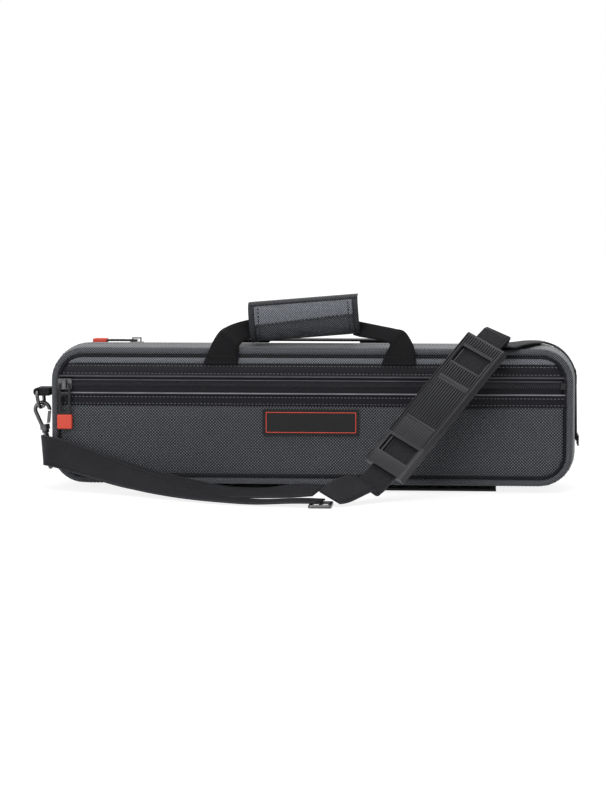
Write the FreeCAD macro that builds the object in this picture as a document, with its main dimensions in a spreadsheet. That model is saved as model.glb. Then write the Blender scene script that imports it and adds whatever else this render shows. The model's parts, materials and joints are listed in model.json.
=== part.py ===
import FreeCAD, Part
import Sketcher
import math
import os
from types import SimpleNamespace

# Soft flute case with a zipped lid, a front pocket, a carrying handle and a shoulder strap.
# X runs along the case, Y from the pocket side to the lid side, Z up from the floor.
# The origin is the middle of the wear strip's underside.

SIZES = {
    # Case body
    "case_length": 450.0,
    "case_height": 117.5,
    "case_depth": 84.0,
    "corner_radius": 28.0,
    "roll_radius": 3.25,
    "edge_lift": 6.0,
    "seam_gap": 0.15,
    "soft_gap": 0.3,
    # Gusset and what lies under it
    "gusset_skin": 2.0,
    "gusset_rise": 2.3,
    "gusset_bulge": 3.8,
    "gusset_setback": 6.5,
    "foam_thickness": 7.0,
    "shell_setback": 2.0,
    "lining_thickness": 1.2,
    # Front panel and pocket
    "board_thickness": 5.0,
    "panel_recess": 1.0,
    "panel_thickness": 2.1,
    "panel_round": 1.5,
    "strip_thickness": 1.5,
    "tape_thickness": 1.0,
    "coil_thickness": 2.2,
    "coil_half_width": 2.8,
    "band_top_drop": 13.7,
    "band_width": 35.8,
    "coil_drop": 17.9,
    "piece_gap": 0.2,
    # Name plate, left bare
    "plate_length": 83.0,
    "plate_height": 23.0,
    "plate_thickness": 1.4,
    "plate_corner": 1.5,
    "plate_top_drop": 2.8,
    "plate_shift": 1.0,
    "plate_rim": 2.6,
    "plate_line": 0.9,
    "plate_line_depth": 0.5,
    # Insert
    "insert_setback": 5.0,
    "channel_floor": 13.3,
    "channel_width": 37.0,
    "channel_corner": 8.0,
    "row_wall": 10.0,
    "body_joint_room": 350.0,
    "head_joint_room": 225.0,
    "foot_joint_room": 140.0,
    "room_wall": 15.0,
    # Lid
    "lid_depth": 13.0,
    "lid_foam_setback": 2.0,
    "lid_board_depth": 6.0,
    "lid_pad_clearance": 1.0,
    "lid_pad_inset": 9.6,
    "lid_foam_border": 16.0,
    # Main zip
    "zip_tape_rise": 1.3,
    "zip_tape_thickness": 1.0,
    "zip_coil_width": 1.9,
    "zip_coil_thickness": 2.0,
    "zip_coil_rise": 0.9,
    "zip_half_gap": 1.8,
    "zip_tape_width": 3.2,
    "zip_end_lift": 22.0,
    "zip_stop_length": 4.0,
    "zip_stop_thickness": 2.6,
    # Bottom
    "wear_inset": 65.0,
    "wear_front_inset": 13.0,
    "wear_rear_inset": 20.0,
    "wear_thickness": 2.6,
    "wear_round": 1.0,
    "hinge_inset": 29.0,
    "hinge_thickness": 1.1,
    "hinge_lift": 4.7,
    "hinge_edge_inset": 0.5,
    # Sliders and pulls
    "slider_length": 12.0,
    "slider_width": 9.4,
    "slider_plate": 1.3,
    "slider_slot": 3.6,
    "slider_post": 1.2,
    "slider_keel": 3.6,
    "slider_round": 1.2,
    "bridge_length": 8.4,
    "bridge_width": 3.0,
    "bridge_height": 3.9,
    "bridge_thickness": 1.1,
    "pull_length": 27.0,
    "pull_width": 10.4,
    "pull_thickness": 1.6,
    "pull_bar": 1.5,
    "pull_rail": 1.9,
    "pull_eye": 6.8,
    "pull_cross": 2.0,
    "pull_tail": 2.0,
    "end_length": 12.6,
    "end_width": 13.0,
    "end_thickness": 3.4,
    "end_round": 1.2,
    "end_gap": 0.1,
    "running_gap": 0.3,
    "top_slider_inset": 36.5,
    "side_slider_drop": 2.0,
    "pocket_slider_inset": 9.2,
    "pull_rest_gap": 0.5,
    # Handle
    "handle_web": 30.0,
    "web_thickness": 1.6,
    "foot_spacing": 154.0,
    "foot_height": 10.6,
    "foot_stand_off": 0.5,
    "wrap_length": 94.0,
    "wrap_height": 36.0,
    "wrap_depth": 30.0,
    "wrap_round": 11.0,
    "wrap_edge_round": 1.2,
    "wrap_centre_x": 6.0,
    "wrap_setback": 22.0,
    "wrap_rise": 28.35,
    "wrap_tilt": 4.65,
    "wrap_lean": 36.0,
    "handle_pivot_gap": 1.7,
    # Rear carrying loop, lying flat on the top
    "loop_length": 140.0,
    "loop_width": 25.4,
    "loop_inset": 1.5,
    "loop_foot": 30.0,
    "loop_foot_depth": 14.0,
    "loop_foot_drop": 0.8,
    # Strap hardware
    "strap_width": 25.4,
    "strap_thickness": 1.6,
    "ring_inside": 26.0,
    "ring_wire": 1.6,
    "ring_depth": 14.0,
    "ring_top_round": 3.0,
    "ring_low_round": 9.0,
    "tab_width": 25.0,
    "tab_wall": 1.5,
    "hook_wire": 1.8,
    "hook_bow": 6.2,
    "hook_reach": 13.0,
    "hook_neck": 2.4,
    "barrel_radius": 4.3,
    "barrel_height": 4.5,
    "pin_radius": 1.5,
    "pin_length": 2.6,
    "pin_clearance": 0.05,
    "gate_radius": 1.3,
    "gate_foot_x": 3.6,
    "gate_foot_z": 0.7,
    "gate_tip_gap": 1.0,
    "collar_radius": 3.2,
    "eye_depth": 9.0,
    "eye_wire": 1.5,
    "eye_round": 2.5,
    "eye_side_gap": 1.2,
    "ring_stand_off": 11.1,
    "ring_setback": 20.0,
    "ring_below_top": 35.98,
    # Strap end at the right
    "strap_line_inset": 23.0,
    "anchor_low": 38.0,
    "anchor_height": 9.0,
    "anchor_thickness": 1.2,
    "anchor_overlap": 1.0,
    # Shoulder pad
    "pad_length": 142.0,
    "pad_width": 40.0,
    "pad_thickness": 8.0,
    "pad_corner": 3.0,
    "pad_rib_depth": 0.7,
    "pad_rib_width": 0.9,
    "pad_rib_pitch": 1.9,
    "pad_channel_gap": 0.6,
    "pad_rib_inset": 3.2,
    "pad_window_length": 16.0,
    "pad_window_width": 31.0,
    "pad_window_inset": 13.4,
    "pad_cross_groove": 3.0,
    "pad_rib_end": 3.0,
    "pad_twist": 36.9,
    "pad_foot_lead": 6.3,
    "pad_top_lead": 2.3,
    # Strap adjuster
    "adjuster_length": 19.0,
    "adjuster_width": 31.0,
    "adjuster_thickness": 2.6,
    "adjuster_rail": 2.6,
    "adjuster_slot": 5.0,
    "adjuster_lift": 0.3,
    "adjuster_strap_gap": 0.76,
    "adjuster_round": 1.0,
}


class Length:
    """A length that carries its value and the sheet formula that gives it."""

    def __init__(self, value, formula):
        self.value = float(value)
        self.formula = formula

    def _with(self, other, sign, value, swapped=False):
        mine, theirs = self.formula, getattr(other, "formula", str(other))
        first, second = (theirs, mine) if swapped else (mine, theirs)
        return Length(value, f"({first} {sign} {second})")

    def __add__(self, other):
        return self._with(other, "+", self.value + float(other))

    def __radd__(self, other):
        return self._with(other, "+", self.value + float(other), True)

    def __sub__(self, other):
        return self._with(other, "-", self.value - float(other))

    def __rsub__(self, other):
        return self._with(other, "-", float(other) - self.value, True)

    def __mul__(self, other):
        return self._with(other, "*", self.value * float(other))

    def __rmul__(self, other):
        return self._with(other, "*", self.value * float(other), True)

    def __truediv__(self, other):
        return self._with(other, "/", self.value / float(other))

    def __neg__(self):
        return Length(-self.value, f"(-1 * {self.formula})")

    def __float__(self):
        return self.value


doc = FreeCAD.newDocument("FluteCase")
sheet = doc.addObject("Spreadsheet::Sheet", "Sizes")
for row, (alias, value) in enumerate(SIZES.items(), start=1):
    sheet.set(f"A{row}", alias)
    sheet.set(f"B{row}", str(value))
    sheet.setAlias(f"B{row}", alias)
doc.recompute()
s = SimpleNamespace(**{alias: Length(value, f"Sizes.{alias}") for alias, value in SIZES.items()})

pieces = []


def vector(x, y, z):
    return FreeCAD.Vector(float(x), float(y), float(z))


def bind(thing, prop, length):
    """Ties one property to the sheet."""
    if isinstance(length, Length):
        thing.setExpression(prop, length.formula)


def keep(thing, label):
    """Marks an object as a piece of the case under its own name."""
    thing.Label = label
    pieces.append(thing)
    return thing


# Sketches and features that many pieces share

NORMALS = {"XZ_Plane": -1, "YZ_Plane": 1, "XY_Plane": 1}


def new_body(label, part=True):
    body = doc.addObject("PartDesign::Body", label)
    return keep(body, label) if part else body


def new_sketch(body, name, role, at=0):
    """A sketch on one of the body's own planes, set off from it along the plane's axis."""
    sketch = body.newObject("Sketcher::SketchObject", name)
    plane = next(f for f in body.Origin.OriginFeatures if f.Role == role)
    sketch.AttachmentSupport = [(plane, "")]
    sketch.MapMode = "FlatFace"
    shift = at * NORMALS[role] if isinstance(at, Length) else at
    sketch.AttachmentOffset = FreeCAD.Placement(vector(0, 0, shift), FreeCAD.Rotation())
    bind(sketch, "AttachmentOffset.Base.z", shift)
    return sketch


def tie_point(sketch, geometry, end, x, y):
    """Ties a point of the sketch to its place on the sheet."""
    for value, kind, axis in ((x, "DistanceX", -2), (y, "DistanceY", -1)):
        if isinstance(value, Length):
            constraint = Sketcher.Constraint(kind, -1, 1, geometry, end, value.value)
            index = sketch.addConstraint(constraint)
            sketch.setExpression(f"Constraints[{index}]", value.formula)
        else:
            sketch.addConstraint(Sketcher.Constraint("PointOnObject", geometry, end, axis))


def add_polygon(sketch, points):
    """A straight-sided closed outline."""
    corners = [vector(x, y, 0) for x, y in points]
    first = sketch.GeometryCount
    count = len(points)
    for start, end in zip(corners, corners[1:] + corners[:1]):
        sketch.addGeometry(Part.LineSegment(start, end))
    for i in range(count):
        sketch.addConstraint(Sketcher.Constraint("Coincident", first + i, 2, first + (i + 1) % count, 1))
    for i, (x, y) in enumerate(points):
        tie_point(sketch, first + i, 1, x, y)


def add_rectangle(sketch, left, right, low, high):
    add_polygon(sketch, [(left, low), (right, low), (right, high), (left, high)])


def add_circle(sketch, x, y, radius):
    circle = Part.Circle(vector(x, y, 0), FreeCAD.Vector(0, 0, 1), float(radius))
    index = sketch.addGeometry(circle)
    tie_point(sketch, index, 3, x, y)
    tie = sketch.addConstraint(Sketcher.Constraint("Radius", index, float(radius)))
    sketch.setExpression(f"Constraints[{tie}]", radius.formula)


def add_rounded(sketch, left, right, low, high, low_round, high_round=None):
    """A closed outline with four round corners, the lower pair and the upper pair alike."""
    high_round = high_round or low_round
    corners = [(left, low, 1, 1, low_round), (right, low, -1, 1, low_round),
               (right, high, -1, -1, high_round), (left, high, 1, -1, high_round)]
    ends = []
    for i, (x, y, inward_x, inward_y, radius) in enumerate(corners):
        along_x = (x + radius * inward_x, y)
        along_y = (x, y + radius * inward_y)
        entry, leave = (along_y, along_x) if i % 2 == 0 else (along_x, along_y)
        ends.append((entry, leave, (along_x[0], along_y[1]), radius))
    first = sketch.GeometryCount
    quarter = math.pi / 2
    for i in range(4):
        start, end = ends[i][1], ends[(i + 1) % 4][0]
        sketch.addGeometry(Part.LineSegment(vector(*start, 0), vector(*end, 0)))
    for i, (entry, leave, centre, radius) in enumerate(ends):
        circle = Part.Circle(vector(*centre, 0), FreeCAD.Vector(0, 0, 1), float(radius))
        turn = math.pi + i * quarter
        index = sketch.addGeometry(Part.ArcOfCircle(circle, turn, turn + quarter))
        sketch.addConstraint(Sketcher.Constraint("Coincident", index, 1, first + (i - 1) % 4, 2))
        sketch.addConstraint(Sketcher.Constraint("Coincident", index, 2, first + i, 1))
        tie = sketch.addConstraint(Sketcher.Constraint("Radius", index, float(radius)))
        sketch.setExpression(f"Constraints[{tie}]", radius.formula)
    for i in range(4):
        tie_point(sketch, first + i, 1, *ends[i][1])
        tie_point(sketch, first + i, 2, *ends[(i + 1) % 4][0])


def pad(body, sketch, length, backwards=False, name="Pad"):
    feature = body.newObject("PartDesign::Pad", name)
    feature.Profile = sketch
    feature.Length = float(length)
    bind(feature, "Length", length)
    feature.Reversed = backwards
    sketch.Visibility = False
    body.Tip = feature
    return feature


def pocket(body, sketch, length, backwards=False, name="Pocket"):
    feature = body.newObject("PartDesign::Pocket", name)
    feature.Profile = sketch
    feature.Length = float(length)
    bind(feature, "Length", length)
    feature.Reversed = backwards
    body.Tip = feature
    return feature


def volume_after(body):
    doc.recompute()
    return body.Shape.Volume


def cut_checked(body, sketch, length, backwards, name="Pocket"):
    """A pocket that is known to take material away."""
    before = volume_after(body)
    pocket(body, sketch, length, backwards, name)
    if not volume_after(body) < before:
        raise RuntimeError(f"{body.Label}: {name} cuts nothing")


def round_edges(body, radius, chosen, name="Fillet"):
    """Rounds the edges of the body's shape that the test picks."""
    doc.recompute()
    tip = body.Tip
    names = [f"Edge{i}" for i, edge in enumerate(tip.Shape.Edges, start=1) if chosen(edge)]
    feature = body.newObject("PartDesign::Fillet", name)
    feature.Base = (tip, names)
    feature.Radius = float(radius)
    bind(feature, "Radius", radius)
    body.Tip = feature


def pipe(body, profile, path, name="Pipe"):
    feature = body.newObject("PartDesign::AdditivePipe", name)
    feature.Profile = profile
    feature.Spine = path
    body.Tip = feature
    return feature


def on_plane(edge, axis, place):
    """True for an edge that lies whole in a plane square to an axis."""
    box = edge.BoundBox
    low, high = (getattr(box, axis + "Min"), getattr(box, axis + "Max"))
    touch = 1e-4
    return abs(low - float(place)) < touch and abs(high - float(place)) < touch


def along(edge, axis):
    """True for a straight edge that runs along an axis."""
    if edge.Curve.TypeId != "Part::GeomLine":
        return False
    return abs(abs(getattr(edge.tangentAt(edge.FirstParameter), axis.lower())) - 1) < 1e-6


def place(body, x, y, z, rotation=None):
    """Sets a piece down, with its position tied to the sheet."""
    body.Placement = FreeCAD.Placement(vector(x, y, z), rotation or FreeCAD.Rotation())
    for letter, value in zip("xyz", (x, y, z)):
        bind(body, f"Placement.Base.{letter}", value)


# The corded edge's centre line, which every layer of the case follows

edge_x = s.case_length / 2 - s.roll_radius
edge_y = s.case_depth / 2 - s.roll_radius
edge_low = s.edge_lift + s.roll_radius
edge_high = s.edge_lift + s.case_height - s.roll_radius
edge_round = s.corner_radius - s.roll_radius
edge_middle = (edge_low + edge_high) / 2
corner_x = edge_x - edge_round
corner_z = edge_high - edge_round
panel_inset = s.roll_radius + s.seam_gap


def add_outline(sketch, rise):
    """The case's rounded outline, set outwards from the edge line."""
    add_rounded(sketch, -edge_x - rise, edge_x + rise, edge_low - rise, edge_high + rise, edge_round + rise)


def slab(label, front, rear, rise):
    """A full layer of the case between two depths."""
    body = new_body(label)
    sketch = new_sketch(body, label + "_outline", "XZ_Plane", front)
    add_outline(sketch, rise)
    pad(body, sketch, rear - front, True)
    return body


def ring_layer(label, front, rear, inner_rise, outer_rise, open_below=None):
    """A band round the case, left open below a height if one is given."""
    body = new_body(label)
    sketch = new_sketch(body, label + "_outline", "XZ_Plane", front)
    add_outline(sketch, outer_rise)
    add_outline(sketch, inner_rise)
    pad(body, sketch, rear - front, True)
    if open_below is not None:
        gap = new_sketch(body, label + "_gap", "XZ_Plane", front)
        add_rectangle(gap, -s.case_length, s.case_length, -s.case_height, open_below)
        cut_checked(body, gap, rear - front, False, label + "_opening")
    return body


def roll(label, depth):
    """A corded edge: one round cord that follows the outline and closes on itself."""
    body = new_body(label)
    path = new_sketch(body, label + "_path", "XZ_Plane", depth)
    add_rounded(path, -edge_x, edge_x, edge_low, edge_high, edge_round)
    profile = new_sketch(body, label + "_cord", "YZ_Plane")
    add_circle(profile, depth, edge_high, s.roll_radius)
    doc.recompute()
    pipe(body, profile, path)
    return body


# Front: board, light strip above the zip band, pocket with its zip, bare name plate

lid_split = s.case_depth / 2 - s.lid_depth
gusset_rear = lid_split - s.gusset_setback
shell_rear = lid_split - s.shell_setback
insert_face = lid_split - s.insert_setback
front_roll_y = -edge_y
rear_roll_y = edge_y
front_face = -s.case_depth / 2
band_top = edge_high - s.band_top_drop + panel_inset
band_low = band_top - s.band_width
coil_z = band_top - s.coil_drop
board_front = front_face + s.panel_recess
layer_back = board_front - s.seam_gap


def front_layer(label, low, high, thickness):
    """A layer on the front board, cut from the panel outline to the height it covers."""
    body = new_body(label)
    sketch = new_sketch(body, label + "_outline", "XZ_Plane", layer_back - thickness)
    add_outline(sketch, -panel_inset)
    pad(body, sketch, thickness, True)
    trim = new_sketch(body, label + "_trim", "XZ_Plane", layer_back - thickness)
    if low is not None:
        add_rectangle(trim, -s.case_length, s.case_length, -s.case_height, low)
    if high is not None:
        add_rectangle(trim, -s.case_length, s.case_length, high, s.case_height * 2)
    cut_checked(body, trim, thickness, False, label + "_cut")
    return body


slab("front_board", board_front, board_front + s.board_thickness, -panel_inset)
roll("front_binding", front_roll_y)
front_layer("front_top_strip", band_top + s.piece_gap, None, s.strip_thickness)
pocket_panel = front_layer("pocket_panel", None, band_low - s.piece_gap, s.panel_thickness)
round_edges(pocket_panel, s.panel_round, lambda edge: on_plane(edge, "Y", layer_back - s.panel_thickness))
upper_tape_low = coil_z + s.coil_half_width + s.piece_gap
front_layer("pocket_tape_upper", upper_tape_low, band_top, s.tape_thickness)
lower_tape_high = coil_z - s.coil_half_width - s.piece_gap
front_layer("pocket_tape_lower", band_low, lower_tape_high, s.tape_thickness)
plate_high = band_low - s.plate_top_drop
plate_low = plate_high - s.plate_height
plate_back = layer_back - s.panel_thickness
plate_face = plate_back - s.plate_thickness
plate_left = s.plate_shift - s.plate_length / 2
plate_right = s.plate_shift + s.plate_length / 2


def name_plate():
    """Moulded rubber plate with a thin sunk line round a bare field."""
    body = new_body("name_plate")
    sketch = new_sketch(body, "plate_outline", "XZ_Plane", plate_face)
    add_rounded(sketch, plate_left, plate_right, plate_low, plate_high, s.plate_corner)
    pad(body, sketch, s.plate_thickness, True)
    line = new_sketch(body, "plate_line", "XZ_Plane", plate_face)
    for inset in (s.plate_rim, s.plate_rim + s.plate_line):
        add_rectangle(line, plate_left + inset, plate_right - inset, plate_low + inset, plate_high - inset)
    cut_checked(body, line, s.plate_line_depth, False, "plate_groove")


name_plate()

# Gusset band, foam shell, lining and the fitted insert

gusset_front = front_roll_y + s.roll_radius + s.piece_gap


def gusset():
    """The smooth band round the case, full in the middle of its width."""
    body = new_body("gusset")
    path = new_sketch(body, "gusset_path", "XZ_Plane", gusset_front)
    add_outline(path, s.gusset_rise - s.gusset_skin)
    inner = edge_high + s.gusset_rise - s.gusset_skin
    outer = edge_high + s.gusset_rise
    chord = gusset_rear - gusset_front
    radius = chord * chord / (s.gusset_bulge * 8) + s.gusset_bulge / 2
    middle = gusset_front + chord / 2
    profile = new_sketch(body, "gusset_section", "YZ_Plane")
    corners = [(gusset_front, outer), (gusset_front, inner), (gusset_rear, inner), (gusset_rear, outer)]
    points = [vector(y, z, 0) for y, z in corners]
    for start, end in zip(points, points[1:]):
        profile.addGeometry(Part.LineSegment(start, end))
    for i in range(2):
        profile.addConstraint(Sketcher.Constraint("Coincident", i, 2, i + 1, 1))
    tie_point(profile, 0, 1, *corners[0])
    tie_point(profile, 1, 1, *corners[1])
    tie_point(profile, 2, 1, *corners[2])
    tie_point(profile, 2, 2, *corners[3])
    crest = vector(middle, outer + s.gusset_bulge, 0)
    arc = profile.addGeometry(Part.Arc(points[3], crest, points[0]))
    profile.addConstraint(Sketcher.Constraint("Coincident", arc, 1, 2, 2))
    profile.addConstraint(Sketcher.Constraint("Coincident", arc, 2, 0, 1))
    tie = profile.addConstraint(Sketcher.Constraint("Radius", arc, float(radius)))
    profile.setExpression(f"Constraints[{tie}]", radius.formula)
    doc.recompute()
    pipe(body, profile, path)


gusset()
shell_rise = s.gusset_rise - s.gusset_skin - s.seam_gap
shell_front = board_front + s.board_thickness + s.piece_gap
lining_rise = shell_rise - s.foam_thickness - s.seam_gap
insert_rise = lining_rise - s.lining_thickness - s.seam_gap


def open_shell(label, front, rear, rise, wall, front_wall):
    """A tray that opens towards the lid."""
    body = slab(label, front, rear, rise)
    inside = new_sketch(body, label + "_inside", "XZ_Plane", rear)
    add_outline(inside, rise - wall)
    cut_checked(body, inside, rear - front - front_wall, True, label + "_hollow")


open_shell("foam_shell", shell_front, shell_rear, shell_rise, s.foam_thickness, s.foam_thickness)
lining_front = shell_front + s.foam_thickness + s.seam_gap
open_shell("lining", lining_front, shell_rear, lining_rise, s.lining_thickness, s.lining_thickness)
insert_front = lining_front + s.lining_thickness + s.seam_gap
row_step = (s.channel_width + s.row_wall) / 2


def flute_insert():
    """Plush-covered block with one channel for the body joint and two for the shorter joints."""
    body = slab("flute_insert", insert_front, insert_face, insert_rise)
    rooms = new_sketch(body, "insert_rooms", "XZ_Plane", insert_face)
    half = s.channel_width / 2
    upper = edge_middle + row_step
    lower = edge_middle - row_step
    body_half = s.body_joint_room / 2
    add_rounded(rooms, -body_half, body_half, upper - half, upper + half, s.channel_corner)
    row_half = (s.head_joint_room + s.room_wall + s.foot_joint_room) / 2
    head_end = s.head_joint_room - row_half
    add_rounded(rooms, -row_half, head_end, lower - half, lower + half, s.channel_corner)
    add_rounded(rooms, head_end + s.room_wall, row_half, lower - half, lower + half, s.channel_corner)
    cut_checked(body, rooms, insert_face - insert_front - s.channel_floor, True, "insert_channels")


flute_insert()

# Main zip round the top and both ends, in a half on the case and a half on the lid

tape_inner = s.zip_tape_rise
tape_outer = s.zip_tape_rise + s.zip_tape_thickness
coil_inner = s.zip_coil_rise
coil_outer = s.zip_coil_rise + s.zip_coil_thickness
zip_low = edge_low + s.zip_end_lift
coil_front = lid_split - s.zip_half_gap / 2 - s.zip_coil_width
coil_rear = lid_split + s.zip_half_gap / 2 + s.zip_coil_width
ring_layer("main_coil_case", coil_front, coil_front + s.zip_coil_width, coil_inner, coil_outer, zip_low)
ring_layer("main_coil_lid", coil_rear - s.zip_coil_width, coil_rear, coil_inner, coil_outer, zip_low)
tape_front = coil_front - s.seam_gap - s.zip_tape_width
ring_layer("main_tape_case", tape_front, coil_front - s.seam_gap, tape_inner, tape_outer, zip_low)
tape_rear = coil_rear + s.seam_gap + s.zip_tape_width
ring_layer("main_tape_lid", coil_rear + s.seam_gap, tape_rear, tape_inner, tape_outer, zip_low)


def box_at(name, left, right, front, rear, low, high):
    """A block between named limits."""
    block = doc.addObject("Part::Box", name)
    for prop, low_side, high_side in (("Length", left, right), ("Width", front, rear), ("Height", low, high)):
        bind(block, prop, high_side - low_side)
    for letter, value in zip("xyz", (left, front, low)):
        bind(block, f"Placement.Base.{letter}", value)
    return block


def group(label, members):
    """Like solids that share one name."""
    compound = doc.addObject("Part::Compound", label)
    compound.Links = members
    return keep(compound, label)


def main_zip_stops():
    """A crimped stop under each end of the coils, on the case's half."""
    stops = []
    for side, name in ((-1, "left"), (1, "right")):
        inner = (edge_x + coil_inner) * side
        outer = (edge_x + coil_inner + s.zip_stop_thickness) * side
        low_x, high_x = (outer, inner) if side < 0 else (inner, outer)
        high = zip_low - s.piece_gap
        stops.append(box_at(f"zip_stop_{name}", low_x, high_x, coil_front, coil_front + s.zip_coil_width,
                            high - s.zip_stop_length, high))
    group("main_zip_stops", stops)


main_zip_stops()

# Pocket zip: two coil halves side by side, with one stop across their right ends

pocket_reach = edge_x - panel_inset
pocket_stop = pocket_reach - s.zip_stop_length
coil_face = layer_back - s.coil_thickness
for name, low, high in (("upper", coil_z + s.zip_half_gap / 2, coil_z + s.coil_half_width),
                        ("lower", coil_z - s.coil_half_width, coil_z - s.zip_half_gap / 2)):
    label = "pocket_coil_" + name
    keep(box_at(label, -pocket_reach, pocket_stop - s.piece_gap, coil_face, layer_back, low, high), label)
keep(box_at("pocket_zip_stop", pocket_stop, pocket_reach, layer_back - s.zip_stop_thickness, layer_back,
            coil_z - s.coil_half_width, coil_z + s.coil_half_width), "pocket_zip_stop")

# Lid: board, padded outer panel, corded edge, foam rim and plush pad

rear_face = s.case_depth / 2
lid_foam_front = lid_split + s.lid_foam_setback
lid_foam_rear = rear_face - s.lid_board_depth
lid_pad_front = insert_face + s.lid_pad_clearance
lid_board_rear = rear_face - s.panel_recess
slab("lid_board", lid_foam_rear + s.piece_gap, lid_board_rear, -panel_inset)
lid_panel = slab("lid_panel", lid_board_rear + s.seam_gap, lid_board_rear + s.seam_gap + s.panel_thickness,
                 -panel_inset)
lid_panel_face = lid_board_rear + s.seam_gap + s.panel_thickness
round_edges(lid_panel, s.panel_round, lambda edge: on_plane(edge, "Y", lid_panel_face))
roll("rear_binding", rear_roll_y)
lid_rim_rise = s.zip_tape_rise - s.seam_gap
lid_roll_front = rear_roll_y - s.roll_radius - s.piece_gap
ring_layer("lid_foam_rim", lid_foam_front, lid_roll_front, lid_rim_rise - s.lid_foam_border,
           lid_rim_rise - s.soft_gap)
slab("lid_pad", lid_pad_front, lid_foam_front - s.piece_gap, -s.lid_pad_inset)
slab("lid_foam_core", lid_foam_front, lid_foam_rear, lid_rim_rise - s.lid_foam_border - s.piece_gap)

# Bottom: wear strip under the gusset and the fabric hinge that carries the lid


def wear_strip():
    body = new_body("wear_strip")
    sketch = new_sketch(body, "wear_outline", "XY_Plane")
    reach = s.case_length / 2 - s.wear_inset
    add_rectangle(sketch, -reach, reach, s.wear_front_inset - rear_face, rear_face - s.wear_rear_inset)
    pad(body, sketch, s.wear_thickness)
    round_edges(body, s.wear_round, lambda edge: on_plane(edge, "Z", s.wear_thickness))


wear_strip()
hinge_reach = s.case_length / 2 - s.hinge_inset
keep(box_at("hinge_tape", -hinge_reach, hinge_reach, gusset_rear + s.piece_gap,
            rear_face - s.hinge_edge_inset, s.hinge_lift, s.hinge_lift + s.hinge_thickness), "hinge_tape")

# Zip sliders, their metal pull frames and the rubber ends, built lying flat:
# outwards is +Z, the pull lies towards -X, and the origin is the middle of the coil

slot_half = s.slider_slot / 2
plate_top = slot_half + s.slider_plate
bar_middle = plate_top + s.pull_rest_gap + s.pull_thickness / 2
bridge_top = plate_top + s.bridge_height


def zip_slider(label, along_pull, post_depth, keeled):
    """Upper plate, post between the coils, bridge that holds the pull and, if keeled, a lower plate."""
    body = new_body(label)

    def outline(sketch, length, width, corner):
        run, across = (length, width) if along_pull else (width, length)
        add_rounded(sketch, -run / 2, run / 2, -across / 2, across / 2, corner)

    upper = new_sketch(body, "upper_plate", "XY_Plane", slot_half)
    outline(upper, s.slider_length, s.slider_width, s.slider_round)
    pad(body, upper, s.slider_plate)
    post = new_sketch(body, "post", "XY_Plane", plate_top - s.slider_plate / 2)
    half = s.slider_post / 2
    near = s.slider_length / 2 - s.slider_round - s.slider_post * 2
    far = near + s.slider_post * 2
    sides = (near, far, -half, half) if along_pull else (-half, half, near, far)
    add_rectangle(post, *sides)
    pad(body, post, post_depth + s.slider_plate / 2, True, "Post")
    if keeled:
        lower = new_sketch(body, "lower_plate", "XY_Plane", -slot_half)
        outline(lower, s.slider_length, s.slider_keel, s.slider_post)
        pad(body, lower, s.slider_plate, True, "LowerPlate")
    bridge = new_sketch(body, "bridge", "XZ_Plane")
    reach = s.bridge_length / 2
    inner = reach - s.bridge_thickness
    sole = plate_top - s.slider_plate / 2
    ceiling = bridge_top - s.bridge_thickness
    add_polygon(bridge, [(-reach, sole), (-reach, bridge_top), (reach, bridge_top), (reach, sole),
                         (inner, sole), (inner, ceiling), (-inner, ceiling), (-inner, sole)])
    arch = pad(body, bridge, s.bridge_width, False, "Bridge")
    arch.Midplane = True
    return body


def pull_frame(label):
    """Flat metal frame: an eye round the bridge, a cross bar and a long window."""
    body = new_body(label)
    half = s.pull_width / 2
    near = s.pull_bar / 2
    far = near - s.pull_length
    sketch = new_sketch(body, "frame", "XY_Plane", -s.pull_thickness / 2)
    add_rounded(sketch, far, near, -half, half, s.slider_round)
    rail = half - s.pull_rail
    eye_end = near - s.pull_bar - s.pull_eye
    add_rectangle(sketch, eye_end, near - s.pull_bar, -rail, rail)
    add_rectangle(sketch, far + s.pull_tail, eye_end - s.pull_cross, -rail, rail)
    pad(body, sketch, s.pull_thickness)
    return body


def pull_end(label):
    """Soft rubber end moulded on the frame's tail."""
    body = new_body(label)
    near = s.pull_bar / 2 - s.pull_length - s.end_gap
    sketch = new_sketch(body, "grip", "XY_Plane", -s.end_thickness / 2)
    add_rounded(sketch, near - s.end_length, near, -s.end_width / 2, s.end_width / 2, s.end_round)
    pad(body, sketch, s.end_thickness)
    round_edges(body, s.end_round, lambda edge: on_plane(edge, "Z", s.end_thickness / 2))
    return body


def facing(long_way, side_way, outward):
    """The turn that lays a flat-built piece on a face of the case."""
    ways = [FreeCAD.Vector(*way) for way in (long_way, side_way, outward)]
    return FreeCAD.Rotation(*ways, "XYZ")


def zip_set(name, x, y, z, turn, outward, slider):
    """A slider with its pull, set down on one zip."""
    place(zip_slider(name + "_slider", *slider), x, y, z, turn)
    lift = [bar_middle * part for part in outward]
    bar = [middle + rise if part else middle for middle, rise, part in zip((x, y, z), lift, outward)]
    place(pull_frame(name + "_pull_frame"), *bar, turn)
    place(pull_end(name + "_pull_end"), *bar, turn)


zip_line = (coil_inner + coil_outer) / 2
through_coils = (True, s.slider_slot + s.slider_plate / 2, True)
between_coils = (False, slot_half + s.coil_thickness / 2 - s.soft_gap, False)
zip_set("top", s.top_slider_inset - corner_x, lid_split, edge_high + zip_line,
        facing((1, 0, 0), (0, 1, 0), (0, 0, 1)), (0, 0, 1), through_coils)
zip_set("side", edge_x + zip_line, lid_split, corner_z - s.side_slider_drop,
        facing((0, 0, 1), (0, -1, 0), (1, 0, 0)), (1, 0, 0), through_coils)
zip_set("pocket", s.pocket_slider_inset - edge_x, layer_back - s.coil_thickness / 2, coil_z,
        facing((0, 0, 1), (-1, 0, 0), (0, -1, 0)), (0, -1, 0), between_coils)

# Straps of webbing, laid along hand-chosen stations


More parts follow.
